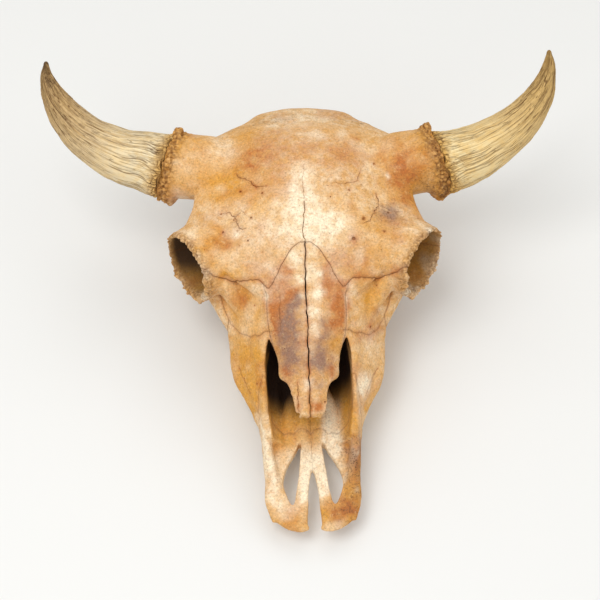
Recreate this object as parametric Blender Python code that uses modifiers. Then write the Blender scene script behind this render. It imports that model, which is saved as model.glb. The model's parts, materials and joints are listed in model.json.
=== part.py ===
"""Bison skull without its lower jaw, life size, at rest on its cheek teeth and neck processes.

Lengths are in millimetres in the tables below and become metres when a mesh is made. In this frame x is to
the side, y runs back from the tip of the muzzle, and z is up from the surface that the skull rests on.
The skull is modelled whole and then parted along its sutures with thin cuts.
"""

import math

import bmesh
import bpy
import numpy as np
from mathutils import Matrix, Vector
from mathutils.bvhtree import BVHTree

MM = 0.001
SIDES = {"right": -1.0, "left": 1.0}

# Driving sizes of the whole skull
ORBIT_CENTRE = (135.0, 280.0, 136.5)
ORBIT_FACING = (0.79, -0.60, 0.12)
ORBIT_RADIUS = 36.0
ORBIT_WIDTH = 0.94
ORBIT_RIM = 8.0
HORN_PLANE = (0.0, 404.0, 163.0)
HORN_LEAN = (0.0, 0.541, 0.841)
HORN_CORE = {
    # reach to the side, rise along the lean, radius
    "right": [
        (150, 3, 37), (171, 6, 37.5), (189, 11, 35.5), (208, 16.5, 33), (226, 25, 30), (243, 36, 27),
        (258, 49, 24), (270, 64, 20.5), (280, 81, 16.5), (287, 99, 12), (291, 117, 7.5), (290, 131, 4),
    ],
    "left": [
        (150, 1, 37), (165, 1, 37.5), (184, 5, 35.5), (203, 12.5, 33), (220, 22.5, 30), (237, 34, 27),
        (252, 47, 24.5), (265, 62.5, 21), (275, 80, 17), (281, 98.5, 12), (284, 117, 7.5), (283, 131, 4),
    ],
}
BURR_CENTRE = (152.0, 411.0, 158.0)
BURR_FACING = (0.97, 0.22, 0.10)

# Sizes of the model's own making: grid steps, gaps and how fine the solids are
STEP_ALONG = 6.0
RING_POINTS = 48
VOXEL = 2.2
SMOOTHING = 6
SUTURE = 0.4
MIDLINE_GAP = 1.0
SKULL_TRIANGLES = 7700
SMALLEST_BONE = 100

BONE = {
    "cranium": (0.76, 0.56, 0.38),
    "horn_core": (0.62, 0.54, 0.38),
    "nasal": (0.68, 0.52, 0.44),
    "lacrimal": (0.78, 0.60, 0.42),
    "zygomatic": (0.76, 0.60, 0.40),
    "maxilla": (0.80, 0.62, 0.36),
    "premaxilla": (0.84, 0.72, 0.52),
}


def along(stations, places):
    """Reads a table of stations at each place, by a smooth curve through its rows."""
    table = np.array(stations, float)
    at, values = table[:, 0], table[:, 1:]
    slopes = np.gradient(values, at, axis=0)
    places = np.asarray(places, float)
    row = np.clip(np.searchsorted(at, places, side="right") - 1, 0, len(at) - 2)
    width = (at[row + 1] - at[row])[:, None]
    t = (places[:, None] - at[row][:, None]) / width
    return (
        (2 * t**3 - 3 * t**2 + 1) * values[row]
        + (t**3 - 2 * t**2 + t) * width * slopes[row]
        + (3 * t**2 - 2 * t**3) * values[row + 1]
        + (t**3 - t**2) * width * slopes[row + 1]
    )


def steps(start, end, step=STEP_ALONG):
    """Evenly spaced places from start to end, no further apart than step."""
    return np.linspace(start, end, max(3, int(math.ceil(abs(end - start) / step)) + 1))


def closed_curve(keys, count=RING_POINTS):
    """A smooth closed curve through the key points of each ring, as count points a ring."""
    keys = np.asarray(keys, float)
    total = keys.shape[1]
    t = np.linspace(0, total, count, endpoint=False)
    i = t.astype(int)
    f = (t - i)[None, :, None]
    p0, p1, p2, p3 = (keys[:, (i + k) % total] for k in (-1, 0, 1, 2))
    return 0.5 * (
        2 * p1
        + (p2 - p0) * f
        + (2 * p0 - 5 * p1 + 4 * p2 - p3) * f**2
        + (3 * p1 - p0 - 3 * p2 + p3) * f**3
    )


def mesh_object(name, points, faces, collection):
    """A closed mesh in metres, with its faces turned outwards."""
    mesh = bpy.data.meshes.new(name)
    mesh.from_pydata((np.asarray(points) * MM).tolist(), [], faces)
    work = bmesh.new()
    work.from_mesh(mesh)
    bmesh.ops.recalc_face_normals(work, faces=work.faces)
    work.to_mesh(mesh)
    work.free()
    thing = bpy.data.objects.new(name, mesh)
    collection.objects.link(thing)
    return thing


def loft(name, rings, collection):
    """A skin over rings of points, closed at both ends."""
    rings = np.asarray(rings, float)
    count, around = rings.shape[:2]
    faces = []
    for i in range(count - 1):
        for j in range(around):
            k = (j + 1) % around
            faces.append((i * around + j, i * around + k, (i + 1) * around + k, (i + 1) * around + j))
    faces.append(tuple(range(around)))
    faces.append(tuple((count - 1) * around + j for j in range(around)))
    return mesh_object(name, rings.reshape(-1, 3), faces, collection)


def body_of_sections(name, stations, outline, collection, step=STEP_ALONG):
    """A body along y, symmetric in x. outline turns a row of sizes into the right half of its section,
    as (x, z) points from the middle of the underside to the middle of the top."""
    places = steps(stations[0][0], stations[-1][0], step)
    sizes = along(stations, places)
    halves = np.array([outline(*row) for row in sizes], float)
    mirrored = halves[:, -2:0:-1] * (-1.0, 1.0)
    flat = closed_curve(np.concatenate([halves, mirrored], axis=1))
    y = np.broadcast_to(places[:, None, None], (*flat.shape[:2], 1))
    return loft(name, np.concatenate([flat[:, :, :1], y, flat[:, :, 1:]], axis=2), collection)


def tapered_bar(name, route, side, collection, step=STEP_ALONG, upright=(0.0, 0.0, 1.0), rounding=0.55):
    """A bar of oval section along a smooth route with round ends. A row of the route is a point, then the
    half width across and the half height towards upright."""
    route = np.array(route, float)
    reach = np.linalg.norm(np.diff(route[:, :3], axis=0), axis=1)
    at = np.concatenate([[0.0], np.cumsum(reach)])
    places = steps(0.0, at[-1], step)
    row = along(np.column_stack([at, route]), places)
    centre, wide, high = row[:, :3] * (side, 1.0, 1.0), row[:, 3], row[:, 4]
    ahead = np.gradient(centre, places, axis=0)
    ahead /= np.linalg.norm(ahead, axis=1)[:, None]
    across = np.cross(ahead, upright)
    across /= np.linalg.norm(across, axis=1)[:, None]
    up = np.cross(across, ahead)
    start = [(-rounding * 0.9, 0.35), (-rounding * 0.5, 0.75)]
    end = [(rounding * 0.5, 0.75), (rounding * 0.9, 0.35)]
    turn = np.linspace(0, 2 * math.pi, 20, endpoint=False)[:, None]
    rings = []

    def ring(i, shift, shrink):
        middle = centre[i] + ahead[i] * shift * min(wide[i], high[i])
        return middle + shrink * (wide[i] * np.cos(turn) * across[i] + high[i] * np.sin(turn) * up[i])

    rings += [ring(0, shift, shrink) for shift, shrink in start]
    rings += [ring(i, 0.0, 1.0) for i in range(len(places))]
    rings += [ring(len(places) - 1, shift, shrink) for shift, shrink in end]
    return loft(name, rings, collection)


def ellipsoid(name, centre, radii, collection, tilt=(0.0, 0.0, 0.0)):
    """A ball stretched to three radii and turned by tilt, in degrees about x, y and z."""
    mesh = bpy.data.meshes.new(name)
    work = bmesh.new()
    bmesh.ops.create_uvsphere(work, u_segments=24, v_segments=14, radius=MM)
    turn = Matrix.LocRotScale(None, None, radii)
    for angle, axis in zip(tilt, "XYZ"):
        turn = Matrix.Rotation(math.radians(angle), 4, axis) @ turn
    work.transform(Matrix.Translation(Vector(centre) * MM) @ turn)
    work.to_mesh(mesh)
    work.free()
    thing = bpy.data.objects.new(name, mesh)
    collection.objects.link(thing)
    return thing


def facing(direction):
    """Two directions that make a frame with direction: one level, one rising."""
    ahead = np.array(direction, float) / np.linalg.norm(direction)
    level = np.cross((0.0, 0.0, 1.0), ahead)
    level /= np.linalg.norm(level)
    return ahead, level, np.cross(ahead, level)


def turned_on(name, centre, direction, profile, side, collection, around=40, oval=1.0):
    """A turned form: profile rows are (distance along direction, radius). oval stretches it across."""
    ahead, level, rise = facing(direction)
    turn = np.linspace(0, 2 * math.pi, around, endpoint=False)[:, None]
    rings = [
        np.array(centre) + ahead * reach + radius * (oval * np.cos(turn) * level + np.sin(turn) * rise)
        for reach, radius in profile
    ]
    return loft(name, np.array(rings) * (side, 1.0, 1.0), collection)


def collection_named(name, parent=None):
    """A new collection, linked under the scene or under parent."""
    made = bpy.data.collections.new(name)
    (parent or bpy.context.scene.collection).children.link(made)
    return made


def empty_out(collection):
    """Removes a collection and the objects in it."""
    for thing in list(collection.objects):
        bpy.data.objects.remove(thing)
    bpy.data.collections.remove(collection)


def apply_modifiers(thing):
    """Replaces an object's mesh with what its modifiers make of it."""
    graph = bpy.context.evaluated_depsgraph_get()
    made = bpy.data.meshes.new_from_object(thing.evaluated_get(graph))
    thing.modifiers.clear()
    thing.data = made


def combine(thing, collection, operation):
    """Joins a collection of closed meshes to an object, or cuts them from it, and removes them."""
    change = thing.modifiers.new(operation.lower(), "BOOLEAN")
    change.operation = operation
    change.operand_type = "COLLECTION"
    change.collection = collection
    change.solver = "MANIFOLD"
    apply_modifiers(thing)
    empty_out(collection)


# Face

FACE = [
    # y, then half width and height of the tooth bearing edge, facial crest, cheek and brow, then the top
    (96, 49, 26, 55, 43, 52, 62, 45, 70, 72),
    (122, 54, 22, 60, 42, 55, 72, 46, 83, 85),
    (145, 60, 20, 71, 50, 58, 85, 47, 97, 99),
    (178, 66, 19, 87, 60, 62, 98, 46, 115, 124),
    (210, 70, 19, 90, 68, 66, 112, 46, 133, 146),
    (240, 72, 19, 94, 82, 70, 130, 47, 151, 162),
    (262, 70, 20, 95, 90, 78, 142, 50, 164, 173),
    (284, 63, 30, 86, 92, 84, 148, 56, 171, 183),
    (300, 46, 60, 66, 98, 74, 146, 50, 172, 188),
    (312, 38, 80, 50, 105, 60, 145, 45, 172, 188),
]


def face_outline(low, low_z, mid, mid_z, high, high_z, edge, edge_z, top):
    """Section of the snout: vaulted palate, tooth bearing edge, facial crest, cheek, brow and crown."""
    return [
        (0, low_z + 9), (low * 0.52, low_z + 8), (low * 0.93, low_z), (low + 3, low_z + 8), (mid, mid_z),
        (mid * 0.5 + high * 0.5 + 2, mid_z * 0.5 + high_z * 0.5), (high, high_z), (edge, edge_z),
        (edge * 0.5, top - (top - edge_z) * 0.25), (0, top),
    ]


NASAL_CAVITY = [
    # y, half width at the floor, floor height, half width above, roof height
    (40, 30, 42, 40, 230),
    (84, 32, 43, 41, 230),
    (120, 34, 42, 43, 230),
    (150, 35, 42, 44, 230),
    (180, 36, 43, 43, 230),
    (214, 36, 45, 43, 230),
]
DEEP_CAVITY = [
    # the same, under the forehead
    (208, 34, 46, 42, 132),
    (240, 32, 50, 44, 148),
    (270, 28, 58, 40, 160),
    (296, 18, 74, 26, 150),
]


def cavity_outline(floor, floor_z, side, roof):
    """Section of the nasal cavity, narrower at its floor."""
    return [
        (0, floor_z), (floor * 0.7, floor_z + 1), (floor, floor_z + 9), (side, floor_z + 30),
        (side, (floor_z + 30 + roof) / 2), (side * 0.92, roof - 4), (side * 0.5, roof), (0, roof),
    ]


NASAL_ROOF = [
    # y, half width, height in the middle, drop at the edge
    (103, 13, 106, 2),
    (112, 17, 111, 4),
    (124, 19, 117, 6),
    (136, 22, 122.5, 9),
    (143, 26, 125.5, 12),
    (148, 33, 128, 17),
    (162, 35, 133.5, 20),
    (182, 39, 142, 22),
    (210, 43, 153, 20),
    (240, 46, 165, 14),
    (262, 46, 175, 11),
    (288, 42, 183, 10),
]
NASAL_THICKNESS = 6.5


def nasal_outline(half, top, drop):
    """Section of the nasal roof: two low crowns beside the midline, on a plate of even thickness."""
    thick = NASAL_THICKNESS
    crown = [
        (half, top - drop), (half * 0.88, top - drop * 0.7), (half * 0.62, top - drop * 0.3),
        (half * 0.3, top), (0, top - 1.2),
    ]
    under = [
        (0, top - thick - 1.0), (half * 0.5, top - drop * 0.25 - thick),
        (half * 0.8, top - drop * 0.7 - thick), (half * 0.96, top - drop - thick * 0.9),
    ]
    return under + crown


FRONT_PLATE = [
    # y, half width, lowest, highest
    (20, 40, 23, 32),
    (40, 46, 26, 37),
    (60, 49, 30, 41),
    (80, 51, 32, 44),
    (100, 51, 31, 45),
    (118, 48, 33, 43),
]
FISSURE = [
    (22, 30), (27, 35), (32, 46), (33.5, 55), (30.5, 66), (25, 77), (18, 89), (13, 99), (10.5, 103),
    (9.5, 96), (11, 84), (12.5, 70), (14, 55), (16, 42), (19, 33),
]
TIP_GAP = [(5, -14), (6.5, 0), (8.5, 8), (6.5, 18), (5, 30), (4.5, 48), (3, 58), (0.5, 68)]


def plate_outline(half, low, high):
    """Section of the flat plate between the prongs of the muzzle."""
    middle = (low + high) / 2
    return [
        (0, low + 1), (half * 0.55, low), (half * 0.93, low + 1.5), (half, middle),
        (half * 0.93, high - 1.5), (half * 0.55, high), (0, high),
    ]


# Cranium

FOREHEAD = [
    # y, half width, height in the middle, height of the edge, thickness at the edge
    (236, 56, 162, 148, 16),
    (256, 82, 172, 157, 18),
    (278, 108, 184, 166, 20),
    (298, 128, 193, 170, 22),
    (312, 138, 197, 168, 22),
    (328, 134, 201, 167, 22),
    (345, 128, 204, 168, 24),
    (375, 125, 208, 172, 30),
    (405, 126, 207, 176, 36),
    (432, 116, 199, 175, 40),
    (452, 92, 189, 170, 42),
    (470, 68, 179, 166, 38),
    (482, 55, 172, 163, 30),
    (490, 46, 164, 156, 20),
]


def forehead_outline(half, top, edge, thick):
    """Section of the broad forehead: a low dome with rounded edges."""
    fall = top - edge
    return [
        (0, edge - thick - 8), (half * 0.5, edge - thick - 6), (half * 0.85, edge - thick),
        (half * 0.99, edge - thick * 0.5), (half, edge - 3), (half * 0.86, edge + fall * 0.22),
        (half * 0.6, top - fall * 0.42), (half * 0.3, top - fall * 0.1), (0, top),
    ]


BRAINCASE = [
    # y, half width, lowest, highest
    (280, 32, 90, 150),
    (310, 44, 74, 165),
    (345, 54, 64, 178),
    (385, 62, 57, 182),
    (420, 74, 54, 176),
    (450, 84, 54, 168),
    (472, 70, 60, 155),
]


def braincase_outline(half, low, high):
    """Section of the braincase, an upright oval."""
    middle = (low + high) / 2
    return [
        (0, low), (half * 0.45, low + 2), (half * 0.82, low + (middle - low) * 0.4), (half, middle),
        (half * 0.9, high - (high - middle) * 0.35), (half * 0.5, high - 2), (0, high),
    ]


OCCIPUT = [
    # y, half width, scale of its height
    (428, 92, 0.9),
    (440, 114, 0.97),
    (452, 120, 1.0),
    (462, 112, 1.0),
    (470, 92, 0.96),
    (477, 66, 0.88),
]


def occiput_outline(half, scale):
    """The nuchal shield: a broad arch from the mastoids up to the crest."""
    low, high = 64.0, 64.0 + 98.0 * scale
    return [
        (0, low + 6), (half * 0.5, low + 4), (half * 0.86, low), (half, low + 26),
        (half * 0.93, low + 54), (half * 0.74, high - 22), (half * 0.4, high - 4), (0, high),
    ]


def horn_route(label):
    """The horn core's axis, curving out, up and back in one leaning plane, with its radii."""
    out, rise, radius = np.array(HORN_CORE[label], float).T
    points = np.array(HORN_PLANE) + out[:, None] * (1.0, 0.0, 0.0) + rise[:, None] * np.array(HORN_LEAN)
    return np.column_stack([points, radius, radius * 0.96])


def ring_of_knobs(name, centre, direction, ring_radius, knob, count, side, seed, collection, oval=1.0):
    """Bony knobs set close around a ring, of seeded size and place."""
    ahead, level, rise = facing(direction)
    draw = np.random.default_rng(seed)
    for i in range(count):
        angle = 2 * math.pi * (i + draw.uniform(-0.25, 0.25)) / count
        size = knob * draw.uniform(0.7, 1.25)
        reach = ring_radius + draw.uniform(-0.25, 0.25) * knob
        place = np.array(centre) + ahead * draw.uniform(-0.7, 0.7) * knob
        place = place + reach * (oval * math.cos(angle) * level + math.sin(angle) * rise)
        ellipsoid(f"{name}_{i}", place * (side, 1.0, 1.0), (size, size * 1.1, size), collection)


def add_cranium(forms):
    """Forehead, braincase, occiput and skull base."""
    body_of_sections("forehead", FOREHEAD, forehead_outline, forms)
    body_of_sections("braincase", BRAINCASE, braincase_outline, forms)
    body_of_sections("occiput", OCCIPUT, occiput_outline, forms, step=4.0)
    basis = [
        (0, 318, 78, 15, 13), (0, 360, 66, 17, 12), (0, 400, 60, 20, 12),
        (0, 425, 57, 26, 13), (0, 455, 58, 24, 13), (0, 474, 56, 20, 10),
    ]
    tapered_bar("skull_base", basis, 1.0, forms)
    ridge = [(0, 470, 104, 5, 10), (0, 480, 126, 7, 12), (0, 485, 148, 10, 12)]
    tapered_bar("nape_ridge", ridge, 1.0, forms, upright=(0, 1, 0))
    for label, side in SIDES.items():
        def place(x, y, z):
            return (x * side, y, z)

        ellipsoid(f"condyle_{label}", place(35, 474, 58), (20, 21, 29), forms, tilt=(24, 0, side * 28))
        ellipsoid(f"condyle_neck_{label}", place(36, 462, 74), (24, 22, 26), forms)
        ellipsoid(f"nape_{label}", place(46, 458, 118), (40, 16, 38), forms, tilt=(0, side * 18, side * 10))
        ellipsoid(f"basal_knob_{label}", place(16, 424, 49), (10, 14, 9), forms)
        ellipsoid(f"bulla_{label}", place(50, 412, 62), (12, 19, 18), forms)
        process = [
            (84, 448, 88, 14, 26), (80, 450, 62, 11, 21), (75, 452, 38, 9, 16),
            (70, 453, 14, 8, 11), (67, 453, -5, 7, 8),
        ]
        tapered_bar(f"neck_process_{label}", process, side, forms, upright=(0, 1, 0))
        root = [(58, 398, 96, 22, 20), (84, 396, 96, 21, 14), (106, 390, 100, 15, 10)]
        tapered_bar(f"jaw_joint_{label}", root, side, forms)
        meatus = [(70, 424, 92, 15, 15), (100, 424, 97, 12, 12), (112, 424, 99, 10, 10)]
        tapered_bar(f"ear_tube_{label}", meatus, side, forms)
        wing = [(22, 286, 62, 5, 24), (21, 312, 60, 4.5, 26), (20, 340, 66, 4.5, 20), (20, 362, 70, 5, 10)]
        tapered_bar(f"pterygoid_{label}", wing, side, forms)


def add_orbits(forms):
    """The tubular eye rims and the arches behind them."""
    rim = ORBIT_RADIUS + ORBIT_RIM
    profile = [(-62, 30), (-44, rim + 2), (-26, rim + 3), (-12, rim + 1), (-3, rim), (0, rim - 3)]
    for label, side in SIDES.items():
        turned_on(f"eye_rim_{label}", ORBIT_CENTRE, ORBIT_FACING, profile, side, forms, oval=ORBIT_WIDTH)
        ring = (ORBIT_CENTRE, ORBIT_FACING, ORBIT_RADIUS + 4.0)
        ring_of_knobs(f"rim_knob_{label}", *ring, 3.2, 30, side, 11, forms, ORBIT_WIDTH)
        cheek = [(82, 228, 78, 8, 12), (94, 250, 88, 9, 14), (112, 280, 98, 8, 14), (128, 308, 103, 6, 12)]
        tapered_bar(f"cheek_{label}", cheek, side, forms)
        arch = [
            (124, 294, 102, 6, 12), (130, 322, 102, 5.5, 12), (128, 352, 102, 5.5, 11),
            (116, 382, 103, 8, 11), (100, 400, 104, 12, 11),
        ]
        tapered_bar(f"arch_{label}", arch, side, forms)
        brow = [
            (60, 226, 106, 10, 9), (76, 246, 117, 13, 13), (90, 262, 128, 13, 17), (102, 272, 136, 12, 18),
        ]
        tapered_bar(f"brow_{label}", brow, side, forms)
        bar = [
            (136, 298, 158, 8, 13), (139, 312, 138, 6, 11), (136, 318, 120, 6, 11), (131, 320, 106, 6, 12),
        ]
        tapered_bar(f"back_bar_{label}", bar, side, forms, upright=(0, 1, 0))


def add_horns(forms):
    """Pedicles, the knobbly burr and the horn cores."""
    for label, side in SIDES.items():
        neck = [
            (84, 398, 160, 36, 30), (112, 404, 162, 39, 35), (137, 406, 164, 38, 37),
            (156, 406, 164, 36, 36),
        ]
        tapered_bar(f"pedicle_{label}", neck, side, forms, rounding=0.1)
        tapered_bar(f"horn_{label}", horn_route(label), side, forms, rounding=0.8)
        ring_of_knobs(f"burr_{label}", BURR_CENTRE, BURR_FACING, 36.0, 6.4, 30, side, 23, forms)
        inner = np.array(BURR_CENTRE) - np.array(BURR_FACING) * 7.0
        ring_of_knobs(f"burr_edge_{label}", inner, BURR_FACING, 36.5, 4.8, 26, side, 29, forms)


def add_muzzle(forms):
    """Premaxillae: the flat body, the outer prong to the maxilla and the inner prong along the midline."""
    for label, side in SIDES.items():
        ellipsoid(f"muzzle_{label}", (27 * side, 15, 27), (23, 16, 6), forms, tilt=(2, 0, side * -14))
        outer = [
            (36, 16, 27, 12, 5), (43, 34, 31, 11, 6), (45, 56, 38, 9, 9), (48, 86, 47, 8, 14),
            (50, 112, 60, 6, 15), (49, 138, 84, 5, 11), (48, 158, 100, 4, 7),
        ]
        tapered_bar(f"outer_prong_{label}", outer, side, forms)
        inner = [
            (17, 14, 27, 10, 5), (12, 32, 30, 6, 5), (8.5, 54, 35, 4.5, 6),
            (7, 78, 43, 4, 7), (6, 102, 48, 4, 8), (5.5, 132, 50, 4, 10),
        ]
        tapered_bar(f"inner_prong_{label}", inner, side, forms)
    body_of_sections("front_plate", FRONT_PLATE, plate_outline, forms)


def prism(name, plan, low, high, side, collection):
    """A plan shape in x and y, smoothed through its points and carried from one height to another."""
    edge = closed_curve([plan], 3 * len(plan))[0] * (side, 1.0)
    rings = [np.column_stack([edge, np.full(len(edge), z)]) for z in (low, high)]
    return loft(name, rings, collection)


def hollow_out(skull):
    """Cuts the nasal cavity, eye sockets, temporal hollows, ear holes, brain opening and rear nostrils."""
    cuts = collection_named("nasal cavities")
    body_of_sections("nasal_cavity", NASAL_CAVITY, cavity_outline, cuts)
    body_of_sections("deep_cavity", DEEP_CAVITY, cavity_outline, cuts)
    combine(skull, cuts, "DIFFERENCE")
    cuts = collection_named("holes")
    socket = [
        (-72, 8), (-62, 18), (-46, 26), (-28, 32), (-12, 34), (0, ORBIT_RADIUS), (16, ORBIT_RADIUS + 5),
    ]
    hollow = [
        (76, 310, 112, 13, 18), (86, 332, 112, 21, 26), (90, 356, 114, 22, 25), (88, 384, 120, 16, 14),
    ]
    choana = [(11, 262, 64, 8, 12), (12, 290, 58, 8, 15), (12, 320, 52, 8, 16), (12, 352, 42, 8, 16)]
    ear = [(84, 424, 95, 4, 4), (124, 424, 100, 4.5, 4.5)]
    nerve = [(82, 132, 58, 5, 6), (66, 152, 62, 5, 6), (54, 176, 68, 4, 5)]
    for label, side in SIDES.items():
        turned_on(f"socket_{label}", ORBIT_CENTRE, ORBIT_FACING, socket, side, cuts, oval=ORBIT_WIDTH)
        tapered_bar(f"temporal_hollow_{label}", hollow, side, cuts)
        tapered_bar(f"rear_nostril_{label}", choana, side, cuts)
        tapered_bar(f"ear_hole_{label}", ear, side, cuts)
        tapered_bar(f"nerve_hole_{label}", nerve, side, cuts)
    brain = [(0, 410, 86, 20, 20), (0, 440, 80, 20, 19), (0, 470, 74, 19, 18), (0, 505, 72, 20, 18)]
    tapered_bar("brain_opening", brain, 1.0, cuts)
    combine(skull, cuts, "DIFFERENCE")


def open_muzzle(skull):
    """Cuts the two fissures beside the inner prongs and the gap between the tips."""
    cuts = collection_named("muzzle openings")
    for label, side in SIDES.items():
        prism(f"fissure_{label}", FISSURE, 8, 66, side, cuts)
    tip = TIP_GAP + [(-x, y) for x, y in TIP_GAP[::-1]]
    prism("tip_gap", tip, 8, 66, 1.0, cuts)
    combine(skull, cuts, "DIFFERENCE")


def whole_skull(work):
    """The whole skull as one smooth closed mesh."""
    forms = collection_named("solid forms")
    skull = body_of_sections("skull", FACE, face_outline, work)
    add_cranium(forms)
    add_orbits(forms)
    add_horns(forms)
    combine(skull, forms, "UNION")
    hollow_out(skull)
    forms = collection_named("added forms")
    body_of_sections("nasal_roof", NASAL_ROOF, nasal_outline, forms, step=3.0)
    add_muzzle(forms)
    combine(skull, forms, "UNION")
    open_muzzle(skull)
    fuse = skull.modifiers.new("fuse", "REMESH")
    fuse.mode = "VOXEL"
    fuse.voxel_size = VOXEL * MM
    smooth = skull.modifiers.new("smooth", "SMOOTH")
    smooth.iterations = SMOOTHING
    apply_modifiers(skull)
    thin = skull.modifiers.new("thin", "DECIMATE")
    thin.ratio = SKULL_TRIANGLES / (2 * len(skull.data.polygons))
    apply_modifiers(skull)
    return skull


# Sutures

CROWN_SUTURE = [
    # distance from the midline, then y and height where the forehead meets the face
    (0, 282, 184), (14, 276, 182), (25, 262, 174), (37, 244, 158), (42, 240, 152),
    (52, 247, 154), (70, 250, 152), (90, 255, 154), (105, 257, 156), (125, 258, 158),
]
SUTURE_FLOOR = (294.0, 70.0)
TEAR_SUTURE = [
    # distance from the midline, then y and height where the lacrimal meets the upper jaw
    (30, 200, 138), (42, 205, 130), (55, 208, 119), (70, 213, 104),
    (82, 222, 95), (96, 234, 96), (106, 240, 100),
]
CHEEK_SUTURE = [
    # y, then distance from the midline where the cheek bone meets the upper jaw
    (205, 106), (222, 97), (232, 91), (245, 90), (262, 93), (284, 95), (300, 93), (322, 92),
]
MUZZLE_SUTURE = [
    # y, then height where the premaxilla meets the upper jaw
    (78, 14), (92, 30), (110, 50), (130, 76), (150, 97), (167, 115),
]


def sheet(name, grid, thickness, side, collection):
    """A thin closed slab on a grid of points, thickened to both sides."""
    grid = np.asarray(grid, float) * (side, 1.0, 1.0)
    normal = np.cross(np.gradient(grid, axis=0), np.gradient(grid, axis=1))
    normal /= np.linalg.norm(normal, axis=2)[:, :, None]
    rows, columns = grid.shape[:2]
    skin = normal * thickness / 2
    points = np.concatenate([(grid + skin).reshape(-1, 3), (grid - skin).reshape(-1, 3)])
    other = rows * columns
    faces = []
    for i in range(rows - 1):
        for j in range(columns - 1):
            a, b = i * columns + j, i * columns + j + 1
            c, d = b + columns, a + columns
            for p, q, r in ((a, b, c), (a, c, d)):
                faces += [(p, q, r), (other + r, other + q, other + p)]
    rim = [(0, j) for j in range(columns - 1)] + [(i, columns - 1) for i in range(rows - 1)]
    rim += [(rows - 1, j) for j in range(columns - 1, 0, -1)] + [(i, 0) for i in range(rows - 1, 0, -1)]
    rim = [i * columns + j for i, j in rim]
    for a, b in zip(rim, rim[1:] + rim[:1]):
        faces.append((b, a, other + a, other + b))
    return mesh_object(name, points, faces, collection)


def read(table, places):
    """The columns of a table at places of any shape, held level beyond its ends."""
    table = np.array(table, float)
    rows = along(table, np.clip(np.ravel(places), table[0, 0], table[-1, 0]))
    return [column.reshape(np.shape(places)) for column in rows.T]


def net(first, second, rows, columns):
    """Two grids of values, the first changing along the rows and the second along the columns."""
    return np.meshgrid(np.linspace(*first, rows), np.linspace(*second, columns), indexing="ij")


def crown_y(x, z):
    """Depth of the suture between face and forehead at a distance from the midline and a height."""
    y, top = read(CROWN_SUTURE, np.abs(x))
    low_y, low_z = SUTURE_FLOOR
    t = np.clip((top - z) / (top - low_z), 0.0, 1.0)
    return y + (low_y - y) * t


def tear_z(x, y):
    """Height of the sheet under the lacrimal and through the middle of the eye rim."""
    start_y, start_z = read(TEAR_SUTURE, x)
    inner = start_z - 0.15 * (y - start_y)
    outer = 121.0 + 0.23 * (x - ORBIT_CENTRE[0]) - 0.05 * (y - ORBIT_CENTRE[1])
    t = np.clip((x - 86.0) / 20.0, 0.0, 1.0)
    t = t * t * (3 - 2 * t)
    return inner * (1 - t) + outer * t


def side_sutures(label, side, cuts):
    """The sheets that part one side's bones. Where two of them meet, one runs a little past the other."""

    def add(name, x, y, z):
        sheet(f"{name}_{label}", np.dstack(np.broadcast_arrays(x, y, z)), SUTURE, side, cuts)

    x = np.array([-1, 7, 14, 20, 25, 31, 37, 42, 47, 52, 61, 70, 80, 90, 94, 97], float)
    top = read(CROWN_SUTURE, np.abs(x))[1]
    z = np.column_stack([0 * x + 220.0, top, 0 * x + SUTURE_FLOOR[1], 0 * x + 18.0])
    add("crown", x[:, None], crown_y(x[:, None], z), z)
    x = np.array([94, 97, 101, 106, 112, 122], float)
    top = read(CROWN_SUTURE, x)[1]
    z = np.column_stack([0 * x + 200.0, top, tear_z(x, 268.0) - 2.5])
    add("crown_rim", x[:, None], crown_y(x[:, None], z), z)
    x, t = net((32.0, 172.0), (0.0, 1.0), 29, 5)
    front = read(TEAR_SUTURE, x)[0] - 16.0
    back = np.where(x < 90.0, crown_y(x, tear_z(x, 262.0)) + 3.0, 345.0)
    y = front * (1 - t) + back * t
    add("tear", x, y, tear_z(x, y))
    y, t = net((206.0, 322.0), (0.0, 1.0), 12, 3)
    x = read(CHEEK_SUTURE, y)[0]
    add("cheek", x, y, 20.0 * (1 - t) + (tear_z(x, y) + 0.4) * t)
    x, z = net((106.0, 148.0), (78.0, 128.0), 2, 2)
    add("arch", x, 346.0 + 0.7 * (z - 102.0), z)
    s, t = net((0.0, 1.0), (0.0, 1.0), 4, 5)
    x = 45.5 + 4.5 * s - 21.0 * t
    z = 123.5 + 38.0 * s - 29.0 * t
    add("nasal_edge", x, 176.0 * (1 - s) + (crown_y(x[-1], z[-1]) + 3.0) * s, z)
    for name, far, inner, outer in (("muzzle", 167.0, 28.0, 80.0), ("muzzle_middle", 126.0, -1.0, 29.0)):
        y, x = net((78.0, far), (inner, outer), 9, 2)
        add(name, x, y, read(MUZZLE_SUTURE, y)[0])
    ahead, level, rise = facing(BURR_FACING)
    u, v = net((-64.0, 64.0), (-64.0, 64.0), 2, 2)
    seat = (np.array(BURR_CENTRE) + ahead * 7.0) + u[:, :, None] * level + v[:, :, None] * rise
    add("horn_seat", *np.moveaxis(seat, 2, 0))


def part_along_sutures(skull):
    """Cuts the skull into its bones."""
    cuts = collection_named("sutures")
    for label, side in SIDES.items():
        side_sutures(label, side, cuts)
    for name, start, low, high, gap in (
        ("nasal_middle", 88.0, 96.0, 230.0, MIDLINE_GAP), ("palate_middle", -20.0, -20.0, 97.0, SUTURE)
    ):
        t, z = net((0.0, 1.0), (low, high), 2, 6)
        y = start * (1 - t) + (crown_y(0.0 * z, z) + 0.4) * t
        sheet(name, np.dstack([0.0 * t, y, z]), gap, 1.0, cuts)
    combine(skull, cuts, "DIFFERENCE")


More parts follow.
